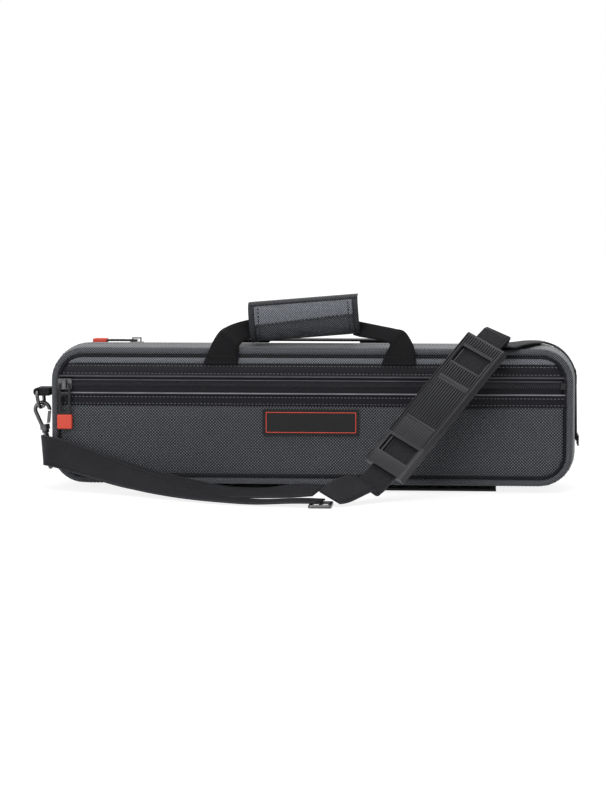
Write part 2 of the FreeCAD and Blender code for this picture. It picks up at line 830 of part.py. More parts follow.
def ribbon(label, stations, width, thickness):
    """Flat webbing through stations, each a centre point and the way its width points."""
    centres = [station[0] for station in stations]
    wires = []
    for i, (centre, across) in enumerate(stations):
        ahead = centres[min(i + 1, len(centres) - 1)] - centres[max(i - 1, 0)]
        side = FreeCAD.Vector(across)
        ahead.normalize()
        side = (side - ahead * side.dot(ahead)).normalize()
        face = ahead.cross(side).normalize()
        half_side = side * (float(width) / 2)
        half_face = face * (float(thickness) / 2)
        corners = [centre - half_side - half_face, centre + half_side - half_face,
                   centre + half_side + half_face, centre - half_side + half_face]
        wires.append(Part.makePolygon(corners + corners[:1]))
    solid = Part.makeLoft(wires, True, True)
    feature = doc.addObject("Part::Feature", label)
    feature.Shape = solid
    return keep(feature, label)


# Handle: feet sewn to the front, webbing that folds in to the wrap, and the padded wrap

foot_x = s.foot_spacing / 2
foot_back = layer_back - s.strip_thickness - s.foot_stand_off
foot_low = band_top + s.piece_gap
foot_high = foot_low + s.foot_height


def handle_feet():
    feet = []
    for side, name in ((-1, "left"), (1, "right")):
        middle = foot_x * side
        feet.append(box_at(f"foot_{name}", middle - s.handle_web / 2, middle + s.handle_web / 2,
                           foot_back - s.web_thickness, foot_back, foot_low, foot_high))
    group("handle_feet", feet)


handle_feet()
pivot_y = foot_back - s.web_thickness / 2
pivot_z = foot_high + s.handle_pivot_gap
wrap_at = (-s.wrap_centre_x, s.wrap_setback - s.case_depth / 2, edge_high + s.wrap_rise)
wrap_middle = vector(*wrap_at)
wrap_turn = FreeCAD.Rotation(FreeCAD.Vector(0, 1, 0), -float(s.wrap_tilt))
lean = math.radians(float(s.wrap_lean))
web_across = FreeCAD.Vector(0, math.cos(lean), math.sin(lean))

# Each leg as shares: of the way from foot to wrap end, of the way back and of the way up
LEG_SHARES = [
    (0.00, 0.00, 0.00, (1.0, 0.0, 0.0)),
    (0.02, 0.17, 0.26, (1.0, 0.05, 0.1)),
    (0.09, 0.40, 0.45, (0.85, 0.25, 0.45)),
    (0.25, 0.66, 0.62, (0.45, 0.55, 0.65)),
    (0.50, 0.86, 0.78, (0.15, 0.75, 0.6)),
    (0.80, 0.97, 0.93, (0.0, 0.81, 0.59)),
]


def handle_webbing():
    """One length of webbing from foot to foot, through the wrap."""
    reach = float(s.wrap_length) / 2
    ends = {side: wrap_middle + wrap_turn.multVec(FreeCAD.Vector(side * reach, 0, 0)) for side in (-1, 1)}
    stations = []
    for side in (-1, 1):
        start = vector(foot_x * side, pivot_y, pivot_z)
        way = ends[side] - start
        leg = []
        for share_x, share_y, share_z, across in LEG_SHARES:
            point = start + FreeCAD.Vector(way.x * share_x, way.y * share_y, way.z * share_z)
            leg.append((point, FreeCAD.Vector(across[0] * -side, across[1], across[2])))
        leg.append((ends[side], web_across))
        stations += leg if side < 0 else leg[::-1]
    return ribbon("handle_webbing", stations, s.handle_web, s.web_thickness)


handle_webbing()


def handle_wrap():
    """Padded sleeve that closes round the webbing."""
    body = new_body("handle_wrap")
    sketch = new_sketch(body, "wrap_section", "YZ_Plane", -s.wrap_length / 2)
    half_y = s.wrap_depth / 2
    half_z = s.wrap_height / 2
    add_rounded(sketch, -half_y, half_y, -half_z, half_z, s.wrap_round)
    pad(body, sketch, s.wrap_length)
    round_edges(body, s.wrap_edge_round, lambda edge: on_plane(edge, "X", s.wrap_length / 2)
                or on_plane(edge, "X", -s.wrap_length / 2))
    slot = new_sketch(body, "webbing_slot", "YZ_Plane", -s.wrap_length / 2)
    width = s.handle_web / 2 + s.soft_gap
    height = s.web_thickness / 2 + s.soft_gap
    cosine, sine = math.cos(lean), math.sin(lean)
    corners = ((-1, -1), (1, -1), (1, 1), (-1, 1))
    add_polygon(slot, [(width * cosine * a - height * sine * b, width * sine * a + height * cosine * b)
                       for a, b in corners])
    cut_checked(body, slot, s.wrap_length, True, "webbing_passage")
    place(body, *wrap_at, wrap_turn)


handle_wrap()

# Rear carrying loop: feet sewn on the top behind the crest, loop folded down over them

top_crest = edge_high + s.gusset_rise + s.gusset_bulge
loop_sewn_y = gusset_rear - s.loop_inset
loop_foot_low = top_crest + s.soft_gap - s.loop_foot_drop
loop_low = loop_foot_low + s.web_thickness + s.soft_gap


def rear_loop():
    feet = []
    for side, name in ((-1, "left"), (1, "right")):
        outer = s.loop_length / 2 * side
        inner = outer - s.loop_foot * side
        low_x, high_x = (outer, inner) if side < 0 else (inner, outer)
        foot_front = loop_sewn_y - s.loop_foot_depth
        feet.append(box_at(f"loop_foot_{name}", low_x, high_x, foot_front, loop_sewn_y,
                           loop_foot_low, loop_foot_low + s.web_thickness))
    group("rear_loop_feet", feet)
    half = s.loop_length / 2
    keep(box_at("rear_loop", -half, half, loop_sewn_y - s.loop_width, loop_sewn_y,
                loop_low, loop_low + s.web_thickness), "rear_loop")


rear_loop()

# Left end: webbing tab, ring, snap hook, gate and strap eye, built hanging from the ring's bar

TAB_ROUND_SHARE = 0.9
BOW_END_ANGLE = -8.0
BOW_BACK_ANGLE = 196.3
CHAIN_LEAN = -8.0

tab_eye = s.ring_wire + s.running_gap
tab_outer = tab_eye + s.tab_wall
ring_half = s.ring_inside / 2 + s.ring_wire
bow_middle = s.ring_wire + s.running_gap - s.ring_depth - s.hook_bow + s.hook_wire
hook_base = bow_middle - s.hook_reach
eye_top = hook_base - s.barrel_height - s.running_gap - s.pin_length
eye_low = eye_top - s.strap_width - s.eye_wire * 2 - s.eye_side_gap * 2
end_wall = edge_x + s.gusset_rise + s.gusset_bulge
ring_x = -end_wall - s.ring_stand_off
ring_y = s.ring_setback - s.case_depth / 2
ring_z = edge_high - s.ring_below_top


def ring_tab(label):
    """Webbing tab that folds round the ring's bar and runs in to the end wall."""
    body = new_body(label)
    sketch = new_sketch(body, "tab_side", "XZ_Plane", -s.tab_width / 2)
    add_rectangle(sketch, -tab_outer, s.ring_stand_off - s.soft_gap, -tab_outer, tab_outer)
    pad(body, sketch, s.tab_width, True)
    hole = new_sketch(body, "tab_eye", "XZ_Plane", -s.tab_width / 2)
    add_circle(hole, 0, 0, tab_eye)
    cut_checked(body, hole, s.tab_width, False, "tab_hole")
    round_edges(body, tab_outer * TAB_ROUND_SHARE, lambda edge: along(edge, "Y") and edge.BoundBox.XMax < 0)
    return body


def wire_loop(body, half_width, low, high, low_round, high_round, wire):
    """Round wire bent to a closed loop that stands across the case's end."""
    path = new_sketch(body, "loop_path", "YZ_Plane")
    add_rounded(path, -half_width, half_width, low, high, low_round, high_round)
    profile = new_sketch(body, "loop_wire", "XZ_Plane")
    add_circle(profile, 0, low, wire)
    doc.recompute()
    pipe(body, profile, path)


def d_ring(label):
    """Bent wire ring with a straight bar at the top."""
    body = new_body(label)
    wire_loop(body, ring_half, -s.ring_depth, 0, s.ring_low_round, s.ring_top_round, s.ring_wire)
    return body


def snap_hook(label):
    """Cast hook: a bow, a back that narrows to the barrel, and the barrel."""
    body = new_body(label)
    barrel = new_sketch(body, "barrel", "XY_Plane", hook_base - s.barrel_height)
    add_circle(barrel, 0, 0, s.barrel_radius)
    pad(body, barrel, s.barrel_height)
    bore = new_sketch(body, "bore", "XY_Plane", hook_base - s.barrel_height)
    add_circle(bore, 0, 0, s.pin_radius + s.pin_clearance)
    cut_checked(body, bore, s.barrel_height / 2 + s.running_gap, True, "pin_bore")
    start_turn, back_turn = math.radians(BOW_END_ANGLE), math.radians(BOW_BACK_ANGLE)
    bow = float(s.hook_bow)
    foot_z = hook_base - s.hook_wire / 2
    path = new_sketch(body, "bow_path", "XZ_Plane")
    circle = Part.Circle(vector(0, bow_middle, 0), FreeCAD.Vector(0, 0, 1), bow)
    arc = path.addGeometry(Part.ArcOfCircle(circle, start_turn, back_turn))
    back = vector(bow * math.cos(back_turn), float(bow_middle) + bow * math.sin(back_turn), 0)
    line = path.addGeometry(Part.LineSegment(back, vector(-s.hook_neck, foot_z, 0)))
    path.addConstraint(Sketcher.Constraint("Tangent", arc, 2, line, 1))
    tie_point(path, arc, 3, 0, bow_middle)
    tie = path.addConstraint(Sketcher.Constraint("Radius", arc, bow))
    path.setExpression(f"Constraints[{tie}]", s.hook_bow.formula)
    tie_point(path, line, 2, -s.hook_neck, foot_z)
    start_z = bow_middle + s.hook_bow * math.sin(start_turn)
    tie_y = path.addConstraint(Sketcher.Constraint("DistanceY", -1, 1, arc, 1, float(start_z)))
    path.setExpression(f"Constraints[{tie_y}]", start_z.formula)
    profile = new_sketch(body, "hook_wire", "XY_Plane", foot_z)
    add_circle(profile, -s.hook_neck, 0, s.hook_wire)
    doc.recompute()
    pipe(body, profile, path)
    return body


def hook_gate(label):
    """Sprung tongue that closes the hook, pinned at its foot."""
    body = new_body(label)
    sketch = new_sketch(body, "tongue", "XZ_Plane", -s.gate_radius)
    tip_x = s.hook_bow * math.cos(math.radians(BOW_END_ANGLE))
    tip_z = bow_middle + s.hook_bow * math.sin(math.radians(BOW_END_ANGLE)) - s.gate_tip_gap
    foot_z = hook_base + s.gate_foot_z
    add_polygon(sketch, [(s.gate_foot_x - s.gate_radius, foot_z), (s.gate_foot_x + s.gate_radius, foot_z),
                         (tip_x + s.gate_radius, tip_z), (tip_x - s.gate_radius, tip_z)])
    pad(body, sketch, s.gate_radius * 2, True)
    return body


def hook_eye(label):
    """Swivel pin with a collar on a long flat eye that the webbing passes through."""
    body = new_body(label)
    half = s.eye_depth / 2
    wire_loop(body, half, eye_low, eye_top, s.eye_round, s.eye_round, s.eye_wire)
    collar = new_sketch(body, "collar", "XY_Plane", eye_top)
    add_circle(collar, 0, 0, s.collar_radius)
    pad(body, collar, s.pin_length, False, "Collar")
    pin = new_sketch(body, "pin", "XY_Plane", eye_top)
    add_circle(pin, 0, 0, s.pin_radius)
    pad(body, pin, s.pin_length + s.running_gap + s.barrel_height / 2, False, "Pin")
    return body


place(ring_tab("ring_tab"), ring_x, ring_y, ring_z)
chain_turn = FreeCAD.Rotation(FreeCAD.Vector(0, 1, 0), CHAIN_LEAN)
for piece in (d_ring, snap_hook, hook_gate, hook_eye):
    place(piece(piece.__name__), ring_x, ring_y, ring_z, chain_turn)

# Shoulder pad: moulded rubber with side rails, ribs and two windows, threaded on the webbing

# Places as shares of the case's half length, half depth and height
PAD_TOP_SHARES = (0.6733, -1.4286, 1.0936)
PAD_FOOT_SHARES = (0.2978, -2.5, 0.217)
ADJUSTER_SHARES = (0.0756, -3.548)


def by_shares(x, y, z):
    return vector(s.case_length / 2 * x, s.case_depth / 2 * y, s.case_height * z)


pad_top = by_shares(*PAD_TOP_SHARES)
pad_foot = by_shares(*PAD_FOOT_SHARES)
pad_way = (pad_top - pad_foot).normalize()
level = FreeCAD.Vector(0, 0, 1).cross(pad_way).normalize()
pad_side = FreeCAD.Rotation(pad_way, float(s.pad_twist)).multVec(-level)
pad_out = pad_side.cross(pad_way)
pad_turn = FreeCAD.Rotation(pad_side, pad_way, pad_out, "XYZ")
pad_middle = (pad_top + pad_foot) * 0.5


def shoulder_pad():
    """Pad with a passage for the webbing, two windows and lengthwise ribs in three fields."""
    body = new_body("shoulder_pad")
    half_x, half_y, half_z = s.pad_width / 2, s.pad_length / 2, s.pad_thickness / 2
    outline = new_sketch(body, "pad_outline", "XY_Plane", -half_z)
    add_rounded(outline, -half_x, half_x, -half_y, half_y, s.pad_corner)
    pad(body, outline, s.pad_thickness)
    passage = new_sketch(body, "pad_passage", "XZ_Plane", -half_y)
    room = s.strap_width / 2 + s.pad_channel_gap
    rise = s.strap_thickness / 2 + s.soft_gap
    add_rectangle(passage, -room, room, -rise, rise)
    cut_checked(body, passage, s.pad_length, False, "webbing_passage")
    windows = new_sketch(body, "pad_windows", "XY_Plane", half_z)
    edge = half_y - s.pad_window_inset
    half_window = s.pad_window_width / 2
    add_rectangle(windows, -half_window, half_window, edge - s.pad_window_length, edge)
    add_rectangle(windows, -half_window, half_window, -edge, s.pad_window_length - edge)
    cut_checked(body, windows, half_z + rise, False, "pad_windows_cut")
    field_high = edge - s.pad_window_length - s.pad_rib_end
    field = (field_high * 2 - s.pad_cross_groove * 2) / 3
    grooves = new_sketch(body, "rib_grooves", "XY_Plane", half_z)
    left = s.pad_rib_inset - half_x
    for step in range(3):
        low = (field + s.pad_cross_groove) * step - field_high
        add_rectangle(grooves, left, left + s.pad_rib_width, low, low + field)
    cut_checked(body, grooves, s.pad_rib_depth, False, "first_groove")
    first = body.Tip
    pattern = body.newObject("PartDesign::LinearPattern", "ribs")
    pattern.Originals = [first]
    pattern.Direction = (grooves, ["H_Axis"])
    run = s.pad_width - s.pad_rib_inset * 2 - s.pad_rib_width
    pattern.Occurrences = int(float(run / s.pad_rib_pitch)) + 1
    bind(pattern, "Length", run)
    body.Tip = pattern
    body.Placement = FreeCAD.Placement(pad_middle, pad_turn)


shoulder_pad()


def adjuster():
    """Three-bar slide that sets the strap's length, lying on the floor."""
    body = new_body("strap_adjuster")
    half_x, half_y = s.adjuster_length / 2, s.adjuster_width / 2
    sketch = new_sketch(body, "adjuster_outline", "XY_Plane")
    add_rounded(sketch, -half_x, half_x, -half_y, half_y, s.adjuster_rail)
    for side in (-1, 1):
        near = s.adjuster_rail / 2
        far = near + s.adjuster_slot
        left, right = (near, far) if side > 0 else (-far, -near)
        add_rectangle(sketch, left, right, s.adjuster_rail - half_y, half_y - s.adjuster_rail)
    pad(body, sketch, s.adjuster_thickness)
    round_edges(body, s.adjuster_round, lambda edge: on_plane(edge, "Z", s.adjuster_thickness)
                and edge.Length > float(s.adjuster_slot) * 2)
    share_x, share_y = ADJUSTER_SHARES
    place(body, s.case_length / 2 * share_x, s.case_depth / 2 * share_y, s.adjuster_lift)


adjuster()

# Strap routes: shares of the case's half length and half depth and of a height, then the way the width
# points. Where the strap hangs below the pocket's pull, the height is that of the pull's lower end, and
# where it ends on the slide, that of the webbing's middle as it lies there.

LOWER_RUN_SHARES = [
    (-1.037, -0.905, 0.633, (-0.06, 0, 1)),
    (-1.011, -1.119, 0.637, (0.05, 0.1, 1)),
    (-0.947, -1.214, 0.584, (0.25, 0.3, 0.88)),
    (-0.844, -1.381, 0.462, (0.35, 0.55, 0.75)),
    (-0.733, -1.619, 0.330, (0.35, 0.75, 0.56)),
    (-0.622, -1.952, 0.226, (0.33, 0.8, 0.45)),
    (-0.511, -2.333, 0.144, (0.3, 0.9, 0.3)),
    (-0.400, -2.738, 0.080, (0.22, 0.95, 0.12)),
    (-0.289, -3.048, 0.049, (0.1, 0.98, 0.03)),
    (-0.156, -3.286, 0.042, (0, 1, 0.02)),
]
ONTO_SLIDE_SHARES = [
    (-0.022, -3.429, 0.905, (0, 1, 0.02)),
    (0.075, -3.548, 1.0, (0, 1, 0)),
]
RETURN_LAYER_SHARES = [
    (-1.017, -0.857, 0.628, (-0.08, 0, 1)),
    (-1.002, -1.038, 0.628, (0, 0, 1)),
    (-0.964, -1.095, 0.602, (0.12, 0.08, 1)),
    (-0.889, -1.143, 0.509, (0.3, 0.3, 0.9)),
    (-0.778, -1.310, 0.376, (0.35, 0.45, 0.8)),
    (-0.667, -1.524, 0.263, (0.33, 0.6, 0.68)),
    (-0.556, -1.750, 0.184, (0.3, 0.72, 0.5)),
    (-0.444, -2.010, 0.132, (0.25, 0.85, 0.4)),
    (-0.311, -2.330, 0.100, (0.1, 0.95, 0.22)),
    (-0.178, -2.548, 0.108, (0, 0.97, 0.15)),
    (-0.044, -2.810, 0.175, (0, 0.95, 0.28)),
    (0.062, -3.048, 0.205, (0, 0.98, 0.2)),
]
TO_PAD_SHARES = [
    (0.107, -3.476, 0.060, (-0.35, 0.8, 0.4)),
    (0.147, -3.286, 0.098, (-0.64, 0.47, 0.6)),
    (0.222, -2.845, 0.143, (-0.75, 0.5, 0.45)),
]
OVER_TOP_SHARES = [
    (0.702, -1.167, 1.106, (-0.78, 0.5, 0.2)),
    (0.738, -0.905, 1.077, (-0.8, 0.58, 0.05)),
    (0.782, -0.619, 1.083, (-0.75, 0.66, 0)),
    (0.827, -0.310, 1.087, (-0.6, 0.8, 0)),
    (0.867, -0.048, 1.087, (-0.3, 0.95, 0)),
]
CORNER_TURNS = [76, 64, 52, 40, 28, 16, 4]


LOOP_TURNS = [-12, 22, 56, 90, 124, 158, 192]
pull_low = coil_z - s.pull_length - s.end_gap - s.end_length + s.pull_bar / 2
loop_round = s.eye_wire + s.soft_gap + s.strap_thickness / 2
chain_place = FreeCAD.Placement(vector(ring_x, ring_y, ring_z), chain_turn)
eye_centre = chain_place.multVec(vector(0, 0, (eye_low + eye_top) / 2))
loop_centre = eye_centre - vector(0, s.eye_depth / 2, 0)
bar_way = chain_turn.multVec(FreeCAD.Vector(0, 0, 1))


def stations(shares, height):
    half_length, half_depth = s.case_length / 2, s.case_depth / 2
    return [(vector(half_length * x, half_depth * y, height * z), FreeCAD.Vector(*across))
            for x, y, z, across in shares]


def round_the_bar(turn, ahead=0):
    """A station on the turn that the strap takes round the eye's front bar."""
    angle = math.radians(turn)
    reach = float(loop_round)
    step = FreeCAD.Vector(reach * math.cos(angle), reach * math.sin(angle) - float(ahead), 0)
    return loop_centre + step, bar_way


loop_stations = [round_the_bar(turn) for turn in LOOP_TURNS]
on_slide_z = s.adjuster_lift + s.adjuster_thickness + s.adjuster_strap_gap + s.strap_thickness / 2
ribbon("strap_lower_run", loop_stations + stations(LOWER_RUN_SHARES, pull_low)
       + stations(ONTO_SLIDE_SHARES, on_slide_z), s.strap_width, s.strap_thickness)
return_start = [round_the_bar(LOOP_TURNS[0], s.strap_thickness)]
ribbon("strap_return_layer", return_start + stations(RETURN_LAYER_SHARES, pull_low), s.strap_width,
       s.strap_thickness)

strap_line_y = lid_split - s.strap_line_inset
strap_turn = edge_round + s.gusset_rise + s.gusset_bulge + s.soft_gap * 2 + s.strap_thickness / 2
anchor_middle = s.anchor_low + s.anchor_height / 2
across_end = FreeCAD.Vector(0, 1, 0)


def upper_run():
    """The strap from the adjuster through the pad, over the top and down the right end."""
    through_pad = [(pad_middle - pad_way * float(s.pad_length / 2 + s.pad_foot_lead), -pad_side),
                   (pad_middle + pad_way * float(s.pad_length / 2 + s.pad_top_lead), -pad_side)]
    round_corner = []
    for turn in CORNER_TURNS:
        angle = math.radians(turn)
        x, z = corner_x + strap_turn * math.cos(angle), corner_z + strap_turn * math.sin(angle)
        round_corner.append((vector(x, strap_line_y, z), across_end))
    down_end = [(vector(corner_x + strap_turn, strap_line_y, anchor_middle), across_end)]
    rising = stations(TO_PAD_SHARES, s.case_height)
    over_top = stations(OVER_TOP_SHARES, s.case_height)
    route = rising + through_pad + over_top + round_corner + down_end
    ribbon("strap_upper_run", route, s.strap_width, s.strap_thickness)


upper_run()


def strap_anchor():
    """Patch that is sewn over the strap's end on the right end wall."""
    outer = corner_x + strap_turn + s.strap_thickness / 2 + s.piece_gap
    half = s.strap_width / 2 + s.anchor_overlap
    front, rear = strap_line_y - half, strap_line_y + half
    keep(box_at("strap_anchor", outer, outer + s.anchor_thickness, front, rear,
                s.anchor_low, s.anchor_low + s.anchor_height), "strap_anchor")


strap_anchor()


def write_pieces():
    """Recomputes, checks every object and piece, and writes one file for each piece."""
    doc.recompute()
    for thing in doc.Objects:
        if {"Invalid", "Error"} & set(thing.State):
            raise RuntimeError(f"{thing.Label} failed: {thing.State}")
    os.makedirs("parts", exist_ok=True)
    for piece in pieces:
        shape = piece.Shape
        if shape.isNull() or not shape.isValid() or not shape.Solids:
            raise RuntimeError(f"{piece.Label} has no valid solid")
        shape.exportStep(f"parts/{piece.Label}.step")
    print(len(pieces), "pieces written")


write_pieces()
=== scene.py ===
import json
import math

import bmesh
import bpy
from mathutils import Matrix, Vector


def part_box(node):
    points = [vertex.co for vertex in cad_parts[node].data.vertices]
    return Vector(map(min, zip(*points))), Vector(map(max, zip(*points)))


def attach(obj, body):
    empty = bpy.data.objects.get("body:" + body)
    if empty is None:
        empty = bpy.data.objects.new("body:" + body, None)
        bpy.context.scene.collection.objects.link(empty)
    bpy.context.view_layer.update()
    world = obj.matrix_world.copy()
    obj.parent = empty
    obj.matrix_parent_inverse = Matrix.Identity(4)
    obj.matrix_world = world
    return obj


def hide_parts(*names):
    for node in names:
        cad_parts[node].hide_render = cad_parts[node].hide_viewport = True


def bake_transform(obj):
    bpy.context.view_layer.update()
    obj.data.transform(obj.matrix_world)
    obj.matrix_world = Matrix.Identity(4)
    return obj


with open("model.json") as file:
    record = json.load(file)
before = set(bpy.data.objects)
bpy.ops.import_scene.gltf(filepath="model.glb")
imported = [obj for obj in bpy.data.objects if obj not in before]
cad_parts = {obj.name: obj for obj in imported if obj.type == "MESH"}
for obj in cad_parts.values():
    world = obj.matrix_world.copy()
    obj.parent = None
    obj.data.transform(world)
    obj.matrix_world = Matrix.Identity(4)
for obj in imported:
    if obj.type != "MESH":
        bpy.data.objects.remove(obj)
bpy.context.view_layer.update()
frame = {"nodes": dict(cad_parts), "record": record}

# The view: a camera at the photograph's angle, a plain pale floor with a white backdrop, and
# three large soft lamps, one overhead, one in front and one behind.

scene = bpy.context.scene
scene.view_settings.view_transform = "Standard"


def stand(name, data, place, target):
    """Puts a camera or a lamp in its place, turned towards a target."""
    thing = bpy.data.objects.new(name, data)
    scene.collection.objects.link(thing)
    thing.location = place
    thing.rotation_euler = (Vector(target) - Vector(place)).to_track_quat("-Z", "Y").to_euler()
    return thing


lens = bpy.data.cameras.new("camera")
lens.lens = 104.65
scene.camera = stand("camera", lens, (0.1505, -2.0302, 0.2291), (-0.006, -0.042, 0.0791))

for name, watts, size, place in (("overhead_lamp", 38, 2.2, (0.1, -0.5, 2.1)),
                                 ("front_lamp", 27, 1.6, (-0.9, -2.1, 1.1)),
                                 ("rear_lamp", 14, 1.8, (0.9, 1.9, 1.5))):
    lamp = bpy.data.lights.new(name, "AREA")
    lamp.energy = watts
    lamp.size = size
    stand(name, lamp, place, (0, 0, 0.06))


def feed(tree, socket, term):
    """Gives a socket the output of another, or a plain value."""
    if isinstance(term, bpy.types.NodeSocket):
        tree.links.new(term, socket)
    else:
        socket.default_value = term


def calc(tree, operation, *terms):
    """One step of arithmetic in a node tree, on sockets or plain numbers."""
    step = tree.nodes.new("ShaderNodeMath")
    step.operation = operation
    for socket, term in zip(step.inputs, terms):
        feed(tree, socket, term)
    return step.outputs[0]


def seen_directly(tree):
    """1 for rays that come from the camera, a mirror or glass."""
    path = tree.nodes.new("ShaderNodeLightPath").outputs
    seen = calc(tree, "MAXIMUM", path["Is Camera Ray"], path["Is Glossy Ray"])
    return calc(tree, "MAXIMUM", seen, path["Is Transmission Ray"])


sky = bpy.data.worlds.new("backdrop")
scene.world = sky
sky.use_nodes = True
light = sky.node_tree.nodes["Background"]
light.inputs["Color"].default_value = (1, 1, 1, 1)
sky_light = 0.2
shown = calc(sky.node_tree, "MULTIPLY_ADD", seen_directly(sky.node_tree), 1 - sky_light, sky_light)
sky.node_tree.links.new(shown, light.inputs["Strength"])

paint = bpy.data.materials.new("pale_floor")
paint.use_nodes = True
tree = paint.node_tree
matt = tree.nodes["Principled BSDF"]
matt.inputs["Base Color"].default_value = (0.9, 0.9, 0.9, 1)
matt.inputs["Roughness"].default_value = 0.9
glow = tree.nodes.new("ShaderNodeEmission")
glow.inputs["Strength"].default_value = 1.15
both = tree.nodes.new("ShaderNodeMixShader")
where = tree.nodes.new("ShaderNodeTexCoord").outputs
away = tree.nodes.new("ShaderNodeVectorMath")
away.operation = "LENGTH"
tree.links.new(where["Object"], away.inputs[0])
near_share, share_per_metre = 0.72, 0.14
rising = calc(tree, "MULTIPLY_ADD", away.outputs["Value"], share_per_metre, near_share)
fading = calc(tree, "MINIMUM", rising, 1.0)
tree.links.new(calc(tree, "MULTIPLY", seen_directly(tree), fading), both.inputs[0])
tree.links.new(matt.outputs[0], both.inputs[1])
tree.links.new(glow.outputs[0], both.inputs[2])
tree.links.new(both.outputs[0], tree.nodes["Material Output"].inputs["Surface"])
floor_reach, floor_drop = 14, 0.0003
bm = bmesh.new()
bmesh.ops.create_grid(bm, x_segments=1, y_segments=1, size=floor_reach,
                      matrix=Matrix.Translation((0, 0, -floor_drop)))
mesh = bpy.data.meshes.new("floor")
bm.to_mesh(mesh)
floor = bpy.data.objects.new("floor", mesh)
scene.collection.objects.link(floor)
mesh.materials.append(paint)

# Front and lid stiffeners: two grey boards inside the covers that keep the faces flat.
# They are cut from pressed board and glued in before the edges are bound.


def surface(name, roughness, metallic=0.0, sheen=0.0, specular=0.5):
    """A plain finish, with the sockets that its pattern starts from and ends at."""
    made = bpy.data.materials.new(name)
    made.use_nodes = True
    shader = made.node_tree.nodes["Principled BSDF"]
    shader.inputs["Roughness"].default_value = roughness
    shader.inputs["Metallic"].default_value = metallic
    shader.inputs["Sheen Weight"].default_value = sheen
    shader.inputs["Specular IOR Level"].default_value = specular
    where = made.node_tree.nodes.new("ShaderNodeTexCoord").outputs
    return made, made.node_tree, shader, where


def tint(tree, share, dark, light):
    """A colour between two, by a share from 0 to 1."""
    mix = tree.nodes.new("ShaderNodeMix")
    mix.data_type = "RGBA"
    tree.links.new(share, mix.inputs["Factor"])
    for socket, colour in ((mix.inputs[6], dark), (mix.inputs[7], light)):
        feed(tree, socket, colour if isinstance(colour, bpy.types.NodeSocket) else (*colour, 1))
    return mix.outputs[2]


def colour_and_relief(tree, shader, share, dark, light, height, depth):
    """Colours a finish between two colours, and raises it by a height times a real depth."""
    tree.links.new(tint(tree, share, dark, light), shader.inputs["Base Color"])
    bump = tree.nodes.new("ShaderNodeBump")
    bump.inputs["Distance"].default_value = depth
    tree.links.new(height, bump.inputs["Height"])
    tree.links.new(bump.outputs["Normal"], shader.inputs["Normal"])


def mottle(tree, place, scale, detail=3.0):
    """Uneven patches over a piece, from 0 to 1."""
    noise = tree.nodes.new("ShaderNodeTexNoise")
    noise.inputs["Detail"].default_value = detail
    feed(tree, noise.inputs["Scale"], scale)
    tree.links.new(place, noise.inputs["Vector"])
    return noise.outputs["Fac"]


def socket_list(group, direction, **kinds):
    """Names a node group's inputs or outputs, each with its kind."""
    for name, kind in kinds.items():
        group.interface.new_socket(name, in_out=direction, socket_type="NodeSocket" + kind)


def placed(tree, group, **values):
    """Puts a node group in a material, fed with the material's own sockets or numbers."""
    node = tree.nodes.new("ShaderNodeGroup")
    node.node_tree = group
    for name, value in values.items():
        feed(tree, node.inputs[name], value)
    return node.outputs


grain = bpy.data.node_groups.new("fine_grain", "ShaderNodeTree")
socket_list(grain, "INPUT", Place="Vector", Scale="Float")
socket_list(grain, "OUTPUT", Height="Float", Shade="Float")
given = grain.nodes.new("NodeGroupInput").outputs
result = grain.nodes.new("NodeGroupOutput").inputs
fine = mottle(grain, given["Place"], given["Scale"], 4.0)
wide = mottle(grain, given["Place"], calc(grain, "DIVIDE", given["Scale"], 30.0))
grain.links.new(fine, result["Height"])
grain.links.new(calc(grain, "MULTIPLY_ADD", wide, 0.6, calc(grain, "MULTIPLY", fine, 0.4)), result["Shade"])


def grained(name, dark, light, roughness, scale, depth, **more):
    """A finish with a fine grain, mottled in colour and in height."""
    made, tree, shader, where = surface(name, roughness, **more)
    speckle = placed(tree, grain, Place=where["Object"], Scale=scale)
    colour_and_relief(tree, shader, speckle["Shade"], dark, light, speckle["Height"], depth)
    return made


def dress(finish, *nodes):
    """Gives construction nodes their finish."""
    for node in nodes:
        for slot in frame["nodes"][node].material_slots:
            slot.material = finish


pressed_board = grained("pressed_board", (0.10, 0.095, 0.085), (0.17, 0.16, 0.145), 0.85, 900, 0.0002)
dress(pressed_board, "front_board", "lid_board")

# Front pocket: a panel of heavy charcoal cloth with a raised dotted weave, stretched over
# the board and sewn in at its edges, so that it swells in the middle and dips by the piping.


def split_up(tree, vector):
    """The three parts of a place or a direction."""
    split = tree.nodes.new("ShaderNodeSeparateXYZ")
    tree.links.new(vector, split.inputs[0])
    return split.outputs


dots = bpy.data.node_groups.new("dotted_weave", "ShaderNodeTree")
socket_list(dots, "INPUT", Place="Vector", Facing="Vector", Pitch="Float")
socket_list(dots, "OUTPUT", Dots="Float")
given = dots.nodes.new("NodeGroupInput").outputs
waves = []
for axis in split_up(dots, given["Place"]):
    turns = calc(dots, "MULTIPLY", calc(dots, "DIVIDE", axis, given["Pitch"]), math.tau)
    waves.append(calc(dots, "COSINE", turns))
total = 0.0
for axis, facing in enumerate(split_up(dots, given["Facing"])):
    pair = [waves[other] for other in range(3) if other != axis]
    share = calc(dots, "MULTIPLY", facing, facing)
    total = calc(dots, "MULTIPLY_ADD", calc(dots, "MULTIPLY", *pair), share, total)
raised = calc(dots, "POWER", calc(dots, "MAXIMUM", total, 0.0), 0.8)
dots.links.new(raised, dots.nodes.new("NodeGroupOutput").inputs["Dots"])


